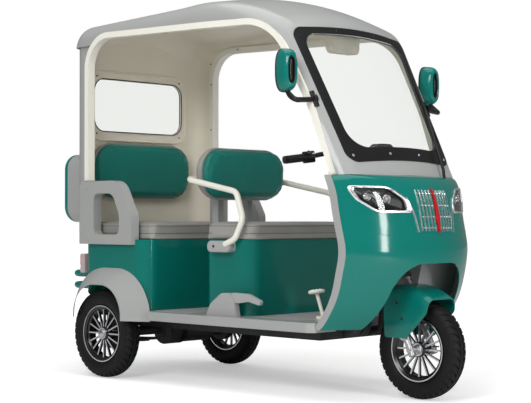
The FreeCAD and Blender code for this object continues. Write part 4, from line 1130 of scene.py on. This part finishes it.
tail_y = (0.3725, 0.4255)
tail_corner = 0.006
tail_lenses = (
    # look, name, heights
    ("lamp red", "tail_lens_", (0.545, 0.602)), ("lamp pale", "tail_reflector_", (0.513, 0.541)),
)
tail_rings = (
    # how much smaller than the outline, how far out of the lamp
    (0, -0.004), (0, 0.0005), (0.001, 0.002), (0.003, 0.0026),
)
ribbed_floors = (
    # rear end, front end, half width
    (-0.374, -0.115, 0.40), (0.245, 0.56, 0.36),
)
rib_pitch = 0.024
rib_profile = ((-0.0042, 0.0), (-0.0026, 0.0017), (0.0026, 0.0017), (0.0042, 0.0))
rib_sunk = 0.0001


def make_tail_lenses():
    """Red lenses on the backs of the tail lamps, with a pale reflector below."""
    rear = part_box("tail_lamps")[0][0]
    for side, name in both_sides:
        ys = sorted(side * y for y in tail_y)
        for look, label, zs in tail_lenses:
            rings = []
            for shrink, out in tail_rings:
                us, vs = (ys[0] + shrink, ys[1] - shrink), (zs[0] + shrink, zs[1] - shrink)
                rings.append([Vector((rear - out, y, z)) for y, z in rounded_loop(us, vs, tail_corner, 4)])
            piece(label + name, [bridged(rings, capped=True)], look)


def make_floor_ribs():
    """Shallow anti-slip ribs on the cab floor, between the seat boxes and before the driver."""
    forms = []
    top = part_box("floor_pan")[1][2]
    for rear, front, half in ribbed_floors:
        for k in range(int((front - rear) / rib_pitch)):
            x = rear + rib_pitch / 2 + rib_pitch * k
            verts = []
            for y in (-half, half):
                verts += [Vector((x + dx, y, top + dz - rib_sunk)) for dx, dz in rib_profile]
            faces = [[i, i + 1, i + 5, i + 4] for i in range(3)] + [[0, 1, 2, 3], [4, 5, 6, 7]]
            forms.append((verts, faces))
    piece("floor_ribs", forms, "grey")


# Studio

floor_half = 60.0
floor_white = (0.88, 0.88, 0.88)
glow_reach = (1.2, 5.0)
glow_strength = (0.40, 0.80)


def make_camera():
    data = bpy.data.cameras.new("camera")
    data.lens = camera_lens
    data.sensor_width = camera_sensor
    camera = bpy.data.objects.new("camera", data)
    camera.location = camera_place
    camera.rotation_euler = (math.radians(90 + camera_pitch), 0, math.radians(camera_yaw))
    scene.collection.objects.link(camera)
    scene.camera = camera


def area_light(name, place, target, size, power):
    data = bpy.data.lights.new(name, "AREA")
    data.shape = "RECTANGLE"
    data.size, data.size_y = size
    data.energy = power
    light = bpy.data.objects.new(name, data)
    light.location = place
    light.rotation_euler = (Vector(target) - Vector(place)).to_track_quat("-Z", "Y").to_euler()
    scene.collection.objects.link(light)


def seen_directly(tree):
    """One where something is looked at, also through clear glass, and nought where it only lights."""
    path = add(tree, "ShaderNodeLightPath")
    bounces = calculated(tree, "ADD", path.outputs["Diffuse Depth"], path.outputs["Glossy Depth"])
    direct = calculated(tree, "LESS_THAN", bounces, 0.5)
    through = calculated(tree, "MULTIPLY", direct, path.outputs["Is Transmission Ray"])
    return calculated(tree, "MAXIMUM", path.outputs["Is Camera Ray"], through)


def make_floor():
    """A pale floor that fades into white away from the vehicle."""
    mesh = bpy.data.meshes.new("floor")
    corners = [(x * floor_half, y * floor_half, 0) for x, y in ((-1, -1), (1, -1), (1, 1), (-1, 1))]
    mesh.from_pydata(corners, [], [(0, 1, 2, 3)])
    floor = bpy.data.objects.new("floor", mesh)
    scene.collection.objects.link(floor)
    pale = moulded("pale floor", floor_white, roughness=0.7, grain=90.0, depth=0.00005, tint=0.005)
    tree = pale.node_tree
    shader = tree.nodes["Principled BSDF"]
    shader.inputs["Specular IOR Level"].default_value = 0.1
    shader.inputs["Emission Color"].default_value = (1, 1, 1, 1)
    place = add(tree, "ShaderNodeTexCoord")
    reach = add(tree, "ShaderNodeVectorMath", operation="LENGTH")
    tree.links.new(place.outputs["Object"], reach.inputs[0])
    glow = spread(tree, reach.outputs["Value"], *glow_strength)
    glow.node.inputs["From Min"].default_value = glow_reach[0]
    glow.node.inputs["From Max"].default_value = glow_reach[1]
    shown = calculated(tree, "MULTIPLY", glow, seen_directly(tree))
    tree.links.new(shown, shader.inputs["Emission Strength"])
    floor.data.materials.append(pale)


def make_world():
    """White where it is looked at, and dimmer where it lights or is mirrored."""
    world = bpy.data.worlds.new("studio")
    world.use_nodes = True
    tree = world.node_tree
    background = tree.nodes["Background"]
    background.inputs["Color"].default_value = (1, 1, 1, 1)
    path = add(tree, "ShaderNodeLightPath")
    dimmed = spread(tree, path.outputs["Is Glossy Ray"], ambient, mirrored)
    strength = add(tree, "ShaderNodeMix", data_type="FLOAT", B=1.0)
    tree.links.new(seen_directly(tree), strength.inputs["Factor"])
    tree.links.new(dimmed, strength.inputs["A"])
    tree.links.new(strength.outputs["Result"], background.inputs["Strength"])
    scene.world = world


def make_studio():
    make_floor()
    make_world()
    area_light("top", place=(0.2, -0.6, 4.6), target=(0, 0, 0.6), size=(4.5, 4.0), power=118.0)
    area_light("key", place=(2.2, -5.2, 3.4), target=(0, 0, 0.8), size=(2.4, 1.8), power=155.0)
    area_light("strip", place=(5.4, -0.55, 1.60), target=(0.9, -0.25, 0.85), size=(0.48, 2.2), power=85.0)
    scene.view_settings.view_transform = "Standard"


make_camera()
make_wheels()
make_cushions()
make_backrests()
make_headlamps()
make_mirrors()
make_fastenings()
make_seals()
make_creases()
make_bar_fittings()
make_pedal_pad()
make_cluster_screen()
make_tail_lenses()
make_floor_ribs()
make_studio()
